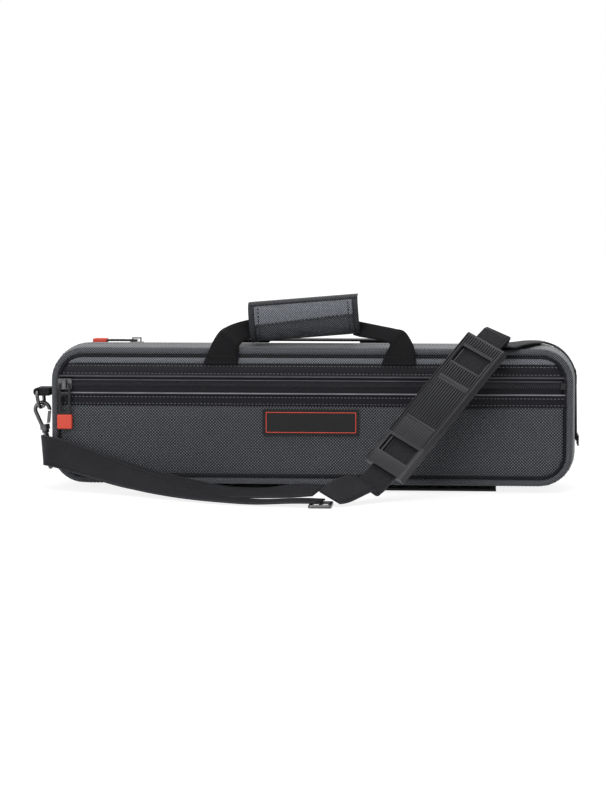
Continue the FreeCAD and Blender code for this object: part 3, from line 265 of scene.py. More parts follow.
def dotted_cloth(name, dark, light, pitch=0.0021):
    """Woven cloth whose raised threads catch the light as staggered dots."""
    made, tree, shader, where = surface(name, 0.62, sheen=0.04, specular=0.18)
    weave = placed(tree, dots, Place=where["Object"], Facing=where["Normal"], Pitch=pitch)
    patches = calc(tree, "MULTIPLY_ADD", mottle(tree, where["Object"], 14), 0.5, 0.72)
    share = calc(tree, "MULTIPLY", weave["Dots"], patches)
    colour_and_relief(tree, shader, share, dark, light, weave["Dots"], 0.0005)
    return made


charcoal_cloth = dotted_cloth("charcoal_cloth", (0.017, 0.0185, 0.021), (0.19, 0.20, 0.22), 0.0026)


def make(name, bm, finish, body, out=None, wall=0.0, crease=35):
    """Closes a mesh into a piece that rides on a body; out points outwards from a place on it."""
    bmesh.ops.remove_doubles(bm, verts=bm.verts, dist=2e-6)
    bmesh.ops.recalc_face_normals(bm, faces=bm.faces)
    if out and sum(face.normal.dot(out(face.calc_center_median())) * face.calc_area()
                   for face in bm.faces) < 0:
        bmesh.ops.reverse_faces(bm, faces=bm.faces)
    mesh = bpy.data.meshes.new(name)
    bm.to_mesh(mesh)
    bm.free()
    mesh.shade_smooth()
    mesh.set_sharp_from_angle(angle=math.radians(crease))
    mesh.materials.append(finish)
    made = bpy.data.objects.new(name, mesh)
    scene.collection.objects.link(made)
    if wall:
        thick = made.modifiers.new("thickness", "SOLIDIFY")
        thick.thickness = wall
    if body:
        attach(made, body)
    return made


side_x, upper_z, lower_z, turn_round = 0.197, 0.0955, 0.034, 0.02475
sewn_reach = turn_round - 0.0034
board_face = 0.0413
pocket_low, pocket_high = 0.01265, 0.0739


def inside_edge(x, z):
    """How far a place on the front or the lid lies inside the sewn edge."""
    over_x = abs(x) - side_x
    over_z = max(z - upper_z, lower_z - z)
    if over_x > 0 and over_z > 0:
        return sewn_reach - math.hypot(over_x, over_z)
    return sewn_reach - max(over_x, over_z)


def crown(room, reach):
    """How far stretched cloth has risen at a distance from its seam, from 0 to 1."""
    return 1 - math.exp(-room / reach)


def forwards(spot):
    """The way that the case's front faces."""
    return Vector((0, -1, 0))


def face_panel(low, high, depth_at, steps=(120, 22)):
    """A panel with the case's rounded corners: a grid drawn in to the corners' arcs."""
    bm = bmesh.new()
    bmesh.ops.create_grid(bm, x_segments=steps[0], y_segments=steps[1], size=1)
    for vert in bm.verts:
        x = vert.co.x * (side_x + sewn_reach)
        z = low + (vert.co.y + 1) / 2 * (high - low)
        over_x = abs(x) - side_x
        over_z, middle, way = (z - upper_z, upper_z, 1) if z > upper_z else (lower_z - z, lower_z, -1)
        if over_x > 0 and over_z > 0:
            share_x, share_z = over_x / sewn_reach, over_z / sewn_reach
            x = math.copysign(side_x + over_x * math.sqrt(1 - share_z ** 2 / 2), x)
            z = middle + way * over_z * math.sqrt(1 - share_x ** 2 / 2)
        vert.co = (x, depth_at(x, z), z)
    return bm


def pocket_depth(x, z):
    """The pocket swells off the board, dips at its sewn edges and lies a little wavy."""
    room = min(max(inside_edge(x, z), 0), pocket_high - z + 0.0016)
    swell = crown(room, 0.0055)
    wave = math.sin(x * 21 + 1.2) * math.sin(z * 58 + 0.4) + 0.6 * math.sin(x * 47 + z * 31)
    return -board_face - 0.0023 * swell - 0.00022 * wave * swell


bm = face_panel(pocket_low, pocket_high, pocket_depth)
pocket = make("pocket_cloth", bm, charcoal_cloth, "case", forwards, 0.0009)
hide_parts("pocket_panel")

# Strip above the zip: a narrow panel of lighter dotted cloth on the same board. It is sewn in
# at the piping above it and at the zip's band below, so it dips at both.

strip_low, strip_high = 0.1101, 0.11685


def strip_depth(x, z):
    """The strip rises quickly from its two seams."""
    room = min(max(inside_edge(x, z), 0), z - strip_low + 0.0004)
    return -board_face - 0.0015 * crown(room, 0.0016)


strip_cloth = dotted_cloth("strip_cloth", (0.075, 0.079, 0.089), (0.42, 0.44, 0.485))
bm = face_panel(strip_low, strip_high, strip_depth, (120, 8))
strip = make("strip_over_zip", bm, strip_cloth, "case", forwards, 0.0008)
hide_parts("front_top_strip")

# Pocket zip: two bands of coated black cloth, each folded back beside the zip and sewn twice,
# with the zip's coil between them. Each fold stands up as a ridge; the bright lines along the
# folds, and a fainter one on the upper band, are painted highlights in the satin's colour.

zip_top = 0.10995
zip_satin, tree, shader, where = surface("zip_satin", 0.42, specular=0.1)
height = split_up(tree, where["Object"])["Z"]
# Painted highlights: light lines along the folds, mottled, lighten the satin's colour.
painted_glint_and_mottle = 0.0
for drop, width, strength in ((0.0110, 0.0009, 0.4), (0.0143, 0.0005, 0.6), (0.0255, 0.0008, 1.1)):
    away = calc(tree, "ABSOLUTE", calc(tree, "SUBTRACT", height, zip_top - drop))
    line = calc(tree, "SUBTRACT", strength, calc(tree, "DIVIDE", away, width / strength))
    painted_glint_and_mottle = calc(tree, "MAXIMUM", line, painted_glint_and_mottle)
painted_glint_and_mottle = calc(tree, "MULTIPLY", painted_glint_and_mottle, calc(tree, "MULTIPLY_ADD", mottle(tree, where["Object"], 60), 0.7, 0.5))
threads = mottle(tree, where["Object"], 1500)
cloth = tint(tree, threads, (0.005, 0.005, 0.007), (0.013, 0.013, 0.017))
colour_and_relief(tree, shader, painted_glint_and_mottle, cloth, (0.30, 0.30, 0.33), threads, 0.00006)


def verts_among(parts):
    """The corners among the parts that an operator gives back."""
    return [part for part in parts if isinstance(part, bmesh.types.BMVert)]


def carry(bm, edges, step):
    """Draws a row of edges out by one step, and gives the new row and its corners."""
    grown = bmesh.ops.extrude_edge_only(bm, edges=edges)["geom"]
    verts = verts_among(grown)
    edges = [part for part in grown if isinstance(part, bmesh.types.BMEdge)
             and all(vert in verts for vert in part.verts)]
    bmesh.ops.translate(bm, vec=step, verts=verts)
    return edges, verts


def face_band(profile):
    """A strip of cloth across the front, with a relief down its height, cut to the corners."""
    bm = bmesh.new()
    row = [bm.verts.new((-1, depth, zip_top + drop)) for drop, depth in profile]
    edges = [bm.edges.new(pair) for pair in zip(row, row[1:])]
    steps = 60
    for _ in range(steps):
        edges = carry(bm, edges, (2 / steps, 0, 0))[0]
    for vert in bm.verts:
        over = max(vert.co.z - upper_z, 0)
        vert.co.x *= side_x + math.sqrt(sewn_reach ** 2 - over ** 2)
    return bm


def tenths(*places):
    """Drops and depths given in tenths of a millimetre."""
    return [(-drop / 10000, -depth / 10000) for drop, depth in places]


upper_fold = tenths((0, 413), (3, 420), (15, 422), (19, 419), (23, 422), (79, 424), (84, 420), (88, 424),
                    (100, 427), (112, 429), (117, 427), (120, 416), (123, 414), (150, 414), (176, 413))
lower_fold = tenths((182, 413), (220, 414), (246, 415), (251, 426), (255, 431), (261, 430), (270, 426),
                    (284, 424), (288, 421), (292, 424), (341, 425), (346, 421), (350, 425), (357, 424),
                    (359, 414))
for name, profile, node in (("zip_band_upper", upper_fold, "pocket_tape_upper"),
                            ("zip_band_lower", lower_fold, "pocket_tape_lower")):
    band = make(name, face_band(profile), zip_satin, "case", forwards, 0.0004)
    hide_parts(node)


def lumps(spots):
    """Many small rounded lumps, such as stitches or a zip's teeth, each laid along a direction."""
    bm = bmesh.new()
    batch = bpy.data.meshes.new("batch")
    for first in range(0, len(spots), 25):
        few = bmesh.new()
        for middle, way, length, thickness in spots[first:first + 25]:
            way = Vector(way).normalized()
            side = way.orthogonal().normalized()
            shape = Matrix((side * thickness / 2, way.cross(side) * thickness / 2, way * length / 2))
            bmesh.ops.create_uvsphere(few, u_segments=6, v_segments=4, radius=1,
                                      matrix=Matrix.Translation(middle) @ shape.transposed().to_4x4())
        few.to_mesh(batch)
        few.free()
        bm.from_mesh(batch)
    bpy.data.meshes.remove(batch)
    return bm


coil_plastic = grained("coil_plastic", (0.013, 0.013, 0.016), (0.038, 0.038, 0.046), 0.34, 700, 0.00005,
                       specular=0.25)


def coil_row(name, spots, body, node):
    """One side of a zip's coil, as its row of teeth."""
    teeth = make(name, lumps(spots), coil_plastic, body)
    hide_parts(node)


coil_start, coil_depth, coil_drop, coil_pitch = -0.2175, -0.0423, 0.0179, 0.0015
for side, phase, node in ((1, 0.25, "pocket_coil_upper"), (-1, 0.75, "pocket_coil_lower")):
    spots = [((coil_start + coil_pitch * (step + phase), coil_depth, zip_top - coil_drop + side * 0.0011),
              (0.12, 0, 1), 0.0034, 0.00115) for step in range(288)]
    coil_row(node.replace("pocket_coil", "pocket_teeth"), spots, "case", node)

thread = grained("grey_thread", (0.08, 0.082, 0.09), (0.17, 0.17, 0.19), 0.55, 2500, 0.0001, specular=0.2)


def stitch_rows(name, rows, finish, body, pitch=0.0032, length=0.0023, thickness=0.0007):
    """Rows of stitches along straight or bent lines of places."""
    spots = []
    for row in rows:
        carried = pitch / 2
        for start, end in zip(row, row[1:]):
            way = Vector(end) - Vector(start)
            while carried < way.length:
                spots.append((Vector(start) + way.normalized() * carried, way, length, thickness))
                carried += pitch
            carried -= way.length
    sewn = make(name, lumps(spots), finish, body)


rows = [[(-reach, depth, zip_top + drop), (reach, depth, zip_top + drop)]
        for drop, depth, reach in ((-0.0019, -0.0422, 0.2105), (-0.0084, -0.0424, 0.2150),
                                   (-0.0288, -0.0425, 0.2175), (-0.0346, -0.0426, 0.2175))]
stitch_rows("zip_band_stitches", rows, thread, "case")

# Piping: rolls of bound cloth round the front edge and round the lid's edge, with a sewn crease
# on the inside, where a near-black strip is painted shade. They are one strip each, joined in
# the middle of the top.

half_run = side_x * 2 + (upper_z - lower_z) + math.pi * turn_round


def run_round(x, z):
    """How far round the outline a place lies, from the middle of the top."""
    far, arc = abs(x), math.pi / 2 * turn_round
    if far > side_x and z > upper_z:
        run = side_x + turn_round * math.atan2(far - side_x, z - upper_z)
    elif far > side_x and z < lower_z:
        run = side_x + arc + upper_z - lower_z + turn_round * math.atan2(lower_z - z, far - side_x)
    elif far > side_x:
        run = side_x + arc + upper_z - z
    else:
        run = far if z > 0.06 else half_run - far
    return run if x >= 0 else half_run * 2 - run


def round_band(profile, closed=True, from_height=None):
    """A section carried round the outline; its places are rises from the outline and depths."""
    step = 0.008
    bm = bmesh.new()
    if from_height is None:
        row = [bm.verts.new((0, depth, upper_z + turn_round + rise)) for rise, depth in profile]
        legs = [((side_x, 0), (side_x, upper_z)), ((0, lower_z - upper_z), (side_x, lower_z)),
                ((-side_x * 2, 0), (-side_x, lower_z)), ((0, upper_z - lower_z), (-side_x, upper_z)),
                ((side_x, 0), None)]
    else:
        row = [bm.verts.new((-side_x - turn_round - rise, depth, from_height)) for rise, depth in profile]
        legs = [((0, upper_z - from_height), (-side_x, upper_z)), ((side_x * 2, 0), (side_x, upper_z)),
                ((0, from_height - upper_z), None)]
    edges = [bm.edges.new(pair) for pair in zip(row, row[1:] + row[:1] if closed else row[1:])]
    for way, turn in legs:
        count = max(1, round(math.hypot(*way) / step))
        for _ in range(count):
            edges, verts = carry(bm, edges, (way[0] / count, 0, way[1] / count))
        if turn:
            turned = bmesh.ops.spin(bm, geom=verts + edges, cent=(turn[0], 0, turn[1]), axis=(0, 1, 0),
                                    angle=math.pi / 2, steps=10)["geom_last"]
            edges = [part for part in turned if isinstance(part, bmesh.types.BMEdge)]
    bmesh.ops.remove_doubles(bm, verts=bm.verts, dist=2e-6)
    if closed and from_height is not None:
        bmesh.ops.holes_fill(bm, edges=bm.edges, sides=0)
    layer = bm.loops.layers.uv.new("run")
    for face in bm.faces:
        middle = face.calc_center_median()
        near = run_round(middle.x, middle.z)
        for loop in face.loops:
            run = run_round(loop.vert.co.x, loop.vert.co.z)
            if run < half_run / 2 and near > half_run * 1.5:
                run += half_run * 2
            if run > half_run * 1.5 and near < half_run / 2:
                run -= half_run * 2
            loop[layer].uv = (loop.vert.co.y, run)
    return bm


def outwards(spot):
    """Away from the case's middle line at a place on its outline."""
    return Vector((spot.x - max(-side_x, min(side_x, spot.x)), 0,
                   spot.z - max(lower_z, min(upper_z, spot.z))))


def off_roll(depth):
    """The way out of a roll, from its middle line at a depth."""
    return lambda spot: outwards(spot).normalized() * (outwards(spot).length - turn_round) + Vector(
        (0, spot.y - depth, 0))


def round_seam(rise, depth):
    """A closed line of places round the outline, at a rise from it and a depth."""
    reach = turn_round + rise
    places = []
    for corner_x, corner_z, start in ((side_x, upper_z, 0), (-side_x, upper_z, 90), (-side_x, lower_z, 180),
                                      (side_x, lower_z, 270)):
        for share in range(7):
            turn = math.radians(start + share * 15)
            places.append((corner_x + reach * math.cos(turn), depth, corner_z + reach * math.sin(turn)))
    return places + places[:1]


piping_cloth = dotted_cloth("piping_cloth", (0.03, 0.0315, 0.036), (0.245, 0.256, 0.285))
# A near-black strip laid in each piping's crease: painted shade where the roll meets the panel.
crease_shade_sheet = grained("crease_shade_sheet", (0.004, 0.004, 0.005), (0.014, 0.014, 0.017), 0.6, 1500, 0.0001,
                       specular=0.1)
dark_thread = grained("black_thread", (0.006, 0.006, 0.007), (0.018, 0.018, 0.02), 0.5, 2500, 0.0001,
                      specular=0.15)
roll_round = 0.00325
for name, depth, body, node in (("front_piping", -0.03875, "case", "front_binding"),
                                ("lid_piping", 0.03875, "lid", "rear_binding")):
    section = [(roll_round * math.cos(turn), depth + roll_round * math.sin(turn))
               for turn in (math.tau * share / 14 for share in range(14))]
    roll = make(name, round_band(section), piping_cloth, body, off_roll(depth))
    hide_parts(node)
    bead = [(rise, math.copysign(out, depth))
            for rise, out in tenths((26, 412), (31, 425), (40, 429), (48, 426), (53, 414))]
    crease = make(name + "_crease", round_band(bead, closed=False), crease_shade_sheet, body,
                  lambda spot: Vector((0, spot.y, 0)), 0.0004)
    seam = round_seam(-0.0029, depth + math.copysign(0.0029, depth))
    stitch_rows(name + "_stitches", [seam], dark_thread, body, 0.0036, 0.0026, 0.0009)

# Gusset: the smooth grey wall round the top, ends and bottom, sewn to the front piping and
# to the zip. It is cloth over soft foam, so it swells between its seams.

smooth_cloth = grained("smooth_cloth", (0.11, 0.115, 0.12), (0.215, 0.223, 0.23), 0.6, 1800, 0.00015,
                       specular=0.2)
gusset_front, gusset_rear, gusset_width, crest = -0.0356, 0.0228, 0.0584, -0.0064
section = []
for step in range(17):
    depth = gusset_front + gusset_width * step / 16
    share = (depth - crest) / 0.0289
    edge = max(0.0, 1 - min(depth - gusset_front, gusset_rear - depth) / 0.002)
    section.append((0.0023 + 0.0038 * (1 - share ** 2) - 0.0012 * edge, depth))
gusset = make("gusset_cloth", round_band(section, closed=False), smooth_cloth, "case", outwards, 0.0012)
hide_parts("gusset")

for name, depth, rise, sewn_in in (("gusset_front_stitches", -0.0337, 0.0029, dark_thread),
                                   ("gusset_middle_stitches", -0.0185, 0.0055, thread),
                                   ("gusset_rear_stitches", 0.0208, 0.0028, dark_thread)):
    stitch_rows(name, [round_seam(rise, depth)], sewn_in, "case")

# Wear strip and hinge: a rubber strip under the case, and the tape along the bottom edge that
# the lid turns on. Both are sewn through the gusset.

black_rubber = grained("black_rubber", (0.005, 0.005, 0.0055), (0.012, 0.012, 0.013), 0.5, 1200, 0.0001,
                       specular=0.2)
dress(black_rubber, "wear_strip")

ribs = bpy.data.node_groups.new("cross_ribs", "ShaderNodeTree")
socket_list(ribs, "INPUT", Across="Float", Along="Float", Pitch="Float", Half_width="Float")
socket_list(ribs, "OUTPUT", Ribs="Float")
given = ribs.nodes.new("NodeGroupInput").outputs
lean = calc(ribs, "ADD", given["Along"], calc(ribs, "MULTIPLY", given["Across"], 0.18))
half_turns = calc(ribs, "DIVIDE", calc(ribs, "MULTIPLY", lean, math.pi), given["Pitch"])
ridge = calc(ribs, "ABSOLUTE", calc(ribs, "SINE", half_turns))
turns = calc(ribs, "DIVIDE", calc(ribs, "MULTIPLY", given["Across"], math.tau), given["Pitch"])
column = calc(ribs, "MULTIPLY_ADD", calc(ribs, "SINE", turns), 0.22, 0.78)
# The rim lightens and raises both edges: a selvedge, and also a painted highlight along the webbing's edges.
past = calc(ribs, "SUBTRACT", calc(ribs, "ABSOLUTE", given["Across"]), given["Half_width"])
rim = calc(ribs, "MINIMUM", calc(ribs, "MAXIMUM", calc(ribs, "MULTIPLY_ADD", past, 900.0, 1.5), 0.0), 1.0)
inner = calc(ribs, "MULTIPLY", calc(ribs, "MULTIPLY", ridge, column), calc(ribs, "SUBTRACT", 1.0, rim))
ribs.links.new(calc(ribs, "MAXIMUM", inner, rim), ribs.nodes.new("NodeGroupOutput").inputs["Ribs"])


def ribbed_cloth(name, dark, light, pitch, depth, along="UV", half=1.0):
    """Cloth or webbing with fine ribs across its run, by its own map or along one axis."""
    made, tree, shader, where = surface(name, 0.6, specular=0.12)
    parts = split_up(tree, where["UV" if along == "UV" else "Object"])
    across, run = {"UV": (0, 1), "X": (2, 0), "Z": (1, 2)}[along]
    weave = placed(tree, ribs, Across=parts[across], Along=parts[run], Pitch=pitch, Half_width=half)
    patches = calc(tree, "MULTIPLY_ADD", mottle(tree, where["Object"], 40), 0.7, 0.6)
    share = calc(tree, "MULTIPLY", weave["Ribs"], patches)
    colour_and_relief(tree, shader, share, dark, light, weave["Ribs"], depth)
    return made


def round_off(bm, edges, by):
    """Rounds edges over."""
    bmesh.ops.bevel(bm, geom=edges, offset=by, affect="EDGES", segments=2, profile=0.5, material=-1)


def softened(node, name, finish, round_by):
    """A cloth or foam piece in a construction node's place, with its edges rounded."""
    bm = bmesh.new()
    bm.from_mesh(frame["nodes"][node].data)
    bmesh.ops.remove_doubles(bm, verts=bm.verts, dist=1e-6)
    bmesh.ops.dissolve_limit(bm, angle_limit=math.radians(1.5), verts=bm.verts, edges=bm.edges)
    sharp = [edge for edge in bm.edges if edge.is_manifold and edge.calc_face_angle(0) > math.radians(40)]
    round_off(bm, sharp, round_by)
    bmesh.ops.triangulate(bm, faces=[face for face in bm.faces if len(face.verts) > 4])
    body = next(one for one, parts in frame["record"]["behaviour"]["bodies"].items() if node in parts)
    made = make(name, bm, finish, body)
    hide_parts(node)


hinge_web = ribbed_cloth("hinge_web", (0.005, 0.005, 0.006), (0.024, 0.024, 0.027), 0.0013, 0.0003, along="X")
softened("hinge_tape", "hinge_webbing", hinge_web, 0.0003)

# Lid cover: one panel of the same charcoal cloth over the lid board, crowned like the front,
# and smooth grey cloth over the foam rim inside the lid's edge.


def lid_depth(x, z):
    """The cover swells off the lid board and lies a little wavy."""
    room = max(inside_edge(x, z), 0)
    wave = math.sin(x * 17 + 0.7) * math.sin(z * 49)
    return board_face + 0.0024 * crown(room, 0.0075) + 0.0002 * wave * crown(room, 0.01)


bm = face_panel(pocket_low, strip_high, lid_depth, (120, 34))
cover = make("lid_cloth", bm, charcoal_cloth, "lid", lambda spot: Vector((0, 1, 0)), 0.0009)
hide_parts("lid_panel")
softened("lid_foam_rim", "lid_rim_cloth", smooth_cloth, 0.0006)

# Main zip: two tapes and two rows of coil round the top and the ends, one on the case and one
# on the lid. It stops above the hinge on both ends.

tape_end, coil_end, tooth_pitch = 0.0312, 0.0318, 0.0016
zip_tape_cloth = ribbed_cloth("zip_tape_cloth", (0.01, 0.01, 0.012), (0.035, 0.035, 0.04), 0.0008, 0.00015)
for body, section in (("case", [(0.0026, 0.0227), (0.0019, 0.0240), (0.0016, 0.0284)]),
                      ("lid", [(0.0016, 0.0296), (0.0019, 0.0340), (0.0022, 0.0356)])):
    band = round_band(section, False, tape_end)
    tape = make("zip_tape_" + body, band, zip_tape_cloth, body, outwards, 0.0005)
    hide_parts("main_tape_" + body)
reach = turn_round + 0.0020
arc = math.pi / 2 * reach
legs = upper_z - coil_end
for body, depth, phase in (("case", 0.0280, 0.25), ("lid", 0.0300, 0.75)):
    spots = []
    for step in range(int((legs + arc + side_x) * 2 / tooth_pitch)):
        run = (step + phase) * tooth_pitch
        if run < legs:
            x, z = -side_x - reach, coil_end + run
        elif run < legs + arc:
            turn = (run - legs) / reach
            x, z = -side_x - reach * math.cos(turn), upper_z + reach * math.sin(turn)
        elif run < legs + arc + side_x * 2:
            x, z = run - legs - arc - side_x, upper_z + reach
        elif run < legs + arc * 2 + side_x * 2:
            turn = (run - legs - arc - side_x * 2) / reach
            x, z = side_x + reach * math.sin(turn), upper_z + reach * math.cos(turn)
        else:
            x, z = side_x + reach, upper_z - (run - legs - arc * 2 - side_x * 2)
        spots.append(((x, depth, z), (0, 1, 0), 0.0030, 0.0011))
    coil_row("zip_coil_" + body, spots, body, "main_coil_" + body)

# Sliders and pulls: cast sliders in dark nickel, bent wire pull frames in black enamel and
# moulded red rubber ends, left bare.

dark_nickel, tree, shader, where = surface("dark_nickel", 0.28, metallic=1.0)
painted_glint_and_mottle = mottle(tree, where["Object"], 260, 5.0)
tree.links.new(calc(tree, "MULTIPLY_ADD", painted_glint_and_mottle, 0.22, 0.18), shader.inputs["Roughness"])
colour_and_relief(tree, shader, painted_glint_and_mottle, (0.045, 0.045, 0.048), (0.16, 0.16, 0.168), mottle(tree, where["Object"], 2200),
     0.00003)
black_enamel = grained("black_enamel", (0.008, 0.008, 0.009), (0.02, 0.02, 0.022), 0.26, 400, 0.00004,
                       specular=0.25)
red_rubber = grained("red_rubber", (0.55, 0.058, 0.035), (0.68, 0.085, 0.055), 0.5, 800, 0.00008,
                     specular=0.25)
for zip_name in ("top", "side", "pocket"):
    dress(dark_nickel, zip_name + "_slider")
    dress(black_enamel, zip_name + "_pull_frame")
    dress(red_rubber, zip_name + "_pull_end")
dress(black_enamel, "pocket_zip_stop", "main_zip_stops")

# Name plate: a moulded black rubber plate glued to the pocket, with a thin red line let into it
# and a bare middle.

dress(black_rubber, "name_plate")
line_middle, line_half_length, line_half_height = (0.001, -0.0441, 0.05985), 0.0389, 0.0089
line_width, line_rise = 0.0009, 0.0007


def draw_out(bm, step):
    """Gives a flat sheet of faces its thickness."""
    grown = bmesh.ops.extrude_face_region(bm, geom=bm.faces[:])["geom"]
    bmesh.ops.translate(bm, vec=step, verts=verts_among(grown))


bm = bmesh.new()
bmesh.ops.create_grid(bm, x_segments=1, y_segments=1, size=1,
                      matrix=Matrix.Translation(line_middle) @ Matrix.Rotation(math.pi / 2, 4, "X")
                      @ Matrix.Diagonal((line_half_length, line_half_height, 1, 1)))
rim = bmesh.ops.inset_region(bm, faces=bm.faces[:], thickness=line_width, use_boundary=True)["faces"]
bmesh.ops.delete(bm, geom=[face for face in bm.faces if face not in rim], context="FACES")
draw_out(bm, (0, -line_rise, 0))
line = make("plate_line", bm, red_rubber, "case", crease=20)

# Carrying handle: one length of black webbing. Each end is folded over on the slant and sewn
# to the case's top edge, and the webbing runs up from behind the fold into the wrap.


def between(stops, share):
    """A place along a list of stops, joined by a smooth curve."""
    at = share * (len(stops) - 1)
    index = min(int(at), len(stops) - 2)
    here = at - index
    a, b, c, d = (stops[max(0, min(len(stops) - 1, index + step))] for step in (-1, 0, 1, 2))
    return (b * 2 + (c - a) * here + (a * 2 - b * 5 + c * 4 - d) * here ** 2
            + (b * 3 - a - c * 3 + d) * here ** 3) / 2


def webbing(name, edge_a, edge_b, finish, body, wall=0.0012, steps=40):
    """A length of webbing between its two edges."""
    bm = bmesh.new()
    bmesh.ops.create_grid(bm, x_segments=6, y_segments=steps, size=1)
    layer = bm.loops.layers.uv.new("run")
    runs, widths, last = [0.0], [], None
    for step in range(steps + 1):
        one, other = between(edge_a, step / steps), between(edge_b, step / steps)
        middle = (one + other) / 2
        widths.append((one - other).length)
        if last:
            runs.append(runs[-1] + (middle - last).length)
        last = middle
    for face in bm.faces:
        for loop in face.loops:
            row = round((loop.vert.co.y + 1) / 2 * steps)
            loop[layer].uv = (loop.vert.co.x / 2 * widths[row], runs[row])
    for vert in bm.verts:
        share, across = (vert.co.y + 1) / 2, (vert.co.x + 1) / 2
        vert.co = between(edge_a, share).lerp(between(edge_b, share), across)
    return make(name, bm, finish, body, None, wall)


handle_cloth = ribbed_cloth("handle_cloth", (0.002, 0.002, 0.0025), (0.010, 0.010, 0.0115), 0.0013, 0.0004,
                            half=0.015)


def mm(*places):
    """Places given in millimetres."""
    return [Vector(place) / 1000 for place in places]


left_top = mm((-89.5, -43.9, 112), (-87.6, -43.9, 120), (-83.6, -43.7, 129.5), (-78, -42.5, 137.9),
              (-72.9, -38, 141.5), (-63.9, -33, 145.2), (-50, -25, 148.6))
left_low = mm((-62.5, -43.9, 112), (-61.9, -43.9, 117), (-61.4, -43.6, 122.3), (-60.4, -42, 126.2),
              (-57.3, -38, 129.5), (-51.8, -33, 131.9), (-46, -26, 134))
right_top = mm((89.5, -43.9, 112), (89.5, -43.9, 119), (88.6, -43.7, 127), (81.5, -42.5, 138.2),
               (72.8, -38, 140.6), (62.7, -33, 142.4), (40, -25, 146.5))
right_low = mm((62.5, -43.9, 112), (65, -43.9, 119.2), (68.5, -43.6, 126.5), (66.5, -42, 129),
               (56.5, -38, 131.5), (43.9, -33, 133.5), (36, -26, 134.5))
foot_left = mm((-92.3, -45.2, 109.8), (-89.1, -45.4, 116.8), (-83.4, -45.7, 128.9), (-78, -45.3, 137.9))
foot_left_inner = mm((-61.9, -45.2, 109.8), (-61.7, -45.3, 114), (-61.5, -45.4, 118.2), (-61.2, -45.6, 122.3))
foot_right = mm((90.9, -45.2, 109.8), (90.5, -45.4, 118.4), (88.5, -45.7, 127.5), (81.5, -45.2, 138.2))
foot_right_inner = mm((61.3, -45.2, 109.8), (63, -45.3, 114.2), (65.5, -45.4, 119.6), (69.3, -45.7, 127.1))
for name, edge_a, edge_b, node in (("handle_web_left", left_top, left_low, "handle_webbing"),
                                   ("handle_web_right", right_top, right_low, None),
                                   ("handle_foot_left", foot_left, foot_left_inner, "handle_feet"),
                                   ("handle_foot_right", foot_right, foot_right_inner, None)):
    web = webbing(name, edge_a, edge_b, handle_cloth, None)
    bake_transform(web)
    if node:
        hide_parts(node)
for name, side in (("foot_left_stitches", -1), ("foot_right_stitches", 1)):
    low, high = 0.1113, 0.1165
    inner, outer = side * 0.0645, side * 0.0885
    places = [(inner, -0.0454, low), (outer, -0.0454, low), (outer - side * 0.001, -0.0456, high),
              (inner, -0.0455, high), (inner, -0.0454, low)]
    stitch_rows(name, [places], dark_thread, "case", 0.0028, 0.0021, 0.0007)

# Handle wrap: a padded sleeve of charcoal cloth closed round the webbing. Its outer flap laps
# over the front and is sewn down, its top edge is bound, and its ends are hemmed.

wrap_middle = Vector((-0.006, -0.020, 0.1486))
wrap_turn = Matrix.Rotation(math.radians(-4.65), 3, "Y")
wrap_length, squareness = 0.094, 2.6


def on_wrap(along, height, lift):
    """A place on the sleeve's front: along it, up it from -1 to 1, and off it."""
    rise = max(-1.0, min(1.0, height))
    bulge = (1 - abs(rise) ** squareness) ** (1 / squareness)
    return wrap_middle + wrap_turn @ Vector((along, -(0.015 + lift) * bulge, (0.0172 + lift * 0.4) * rise))


def as_it_stands(made):
    """A piece's mesh with its modifiers worked out."""
    return bpy.data.meshes.new_from_object(made.evaluated_get(bpy.context.evaluated_depsgraph_get()))


def puffed(name, bm, finish, body, cell, most):
    """Foam under cloth: the skin is meshed evenly and blown up as cloth, but never far."""
    moments = 20
    made = make(name, bm, finish, None)
    made.modifiers.new("even", "REMESH").voxel_size = cell
    skin = as_it_stands(made)
    made.modifiers.clear()
    made.data = skin
    cloth = made.modifiers.new("cloth", "CLOTH")
    cloth.settings.use_pressure = True
    cloth.settings.uniform_pressure_force = 4.0
    cloth.settings.effector_weights.gravity = 0
    cloth.point_cache.frame_end = moments
    for moment in range(1, moments + 1):
        scene.frame_set(moment)
    full = as_it_stands(made)
    for before, after in zip(skin.vertices, full.vertices):
        move = after.co - before.co
        before.co += move * min(1.0, most / max(move.length, 1e-9))
    bpy.data.meshes.remove(full)
    made.modifiers.clear()
    scene.frame_set(1)
    skin.shade_smooth()
    finer = made.modifiers.new("finer", "SUBSURF")
    finer.levels = finer.render_levels = 1
    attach(made, body)
    return made


# One charcoal cloth in two copies: the flap's lighter copy is painted light from above, and the sleeve's
# darker copy is painted shade.
shaded_wrap_cloth = dotted_cloth("shaded_wrap_cloth", (0.026, 0.0275, 0.031), (0.155, 0.162, 0.182))
lit_flap_cloth = dotted_cloth("lit_flap_cloth", (0.075, 0.079, 0.089), (0.36, 0.378, 0.422))
bound_cloth = dotted_cloth("bound_cloth", (0.010, 0.0105, 0.012), (0.08, 0.083, 0.095))
bm = bmesh.new()
bmesh.ops.create_circle(bm, segments=40, radius=1, matrix=Matrix.Rotation(math.pi / 2, 4, "Y"))
for vert in bm.verts:
    turn = math.atan2(vert.co.z, vert.co.y)
    across, up = math.cos(turn), math.sin(turn)
    size = (abs(across) ** squareness + abs(up) ** squareness) ** (1 / squareness)
    vert.co = (-wrap_length / 2, across / size * 0.0144, up / size * 0.0166)
edges = bm.edges[:]
for _ in range(24):
    edges = carry(bm, edges, (wrap_length / 24, 0, 0))[0]
for vert in bm.verts:
    near_end = max(0.0, abs(vert.co.x) - 0.044) / 0.003
    squeeze = 1 - 0.05 * near_end - 0.012 * math.cos(vert.co.x * 70)
    vert.co.y *= squeeze
    vert.co.z *= squeeze
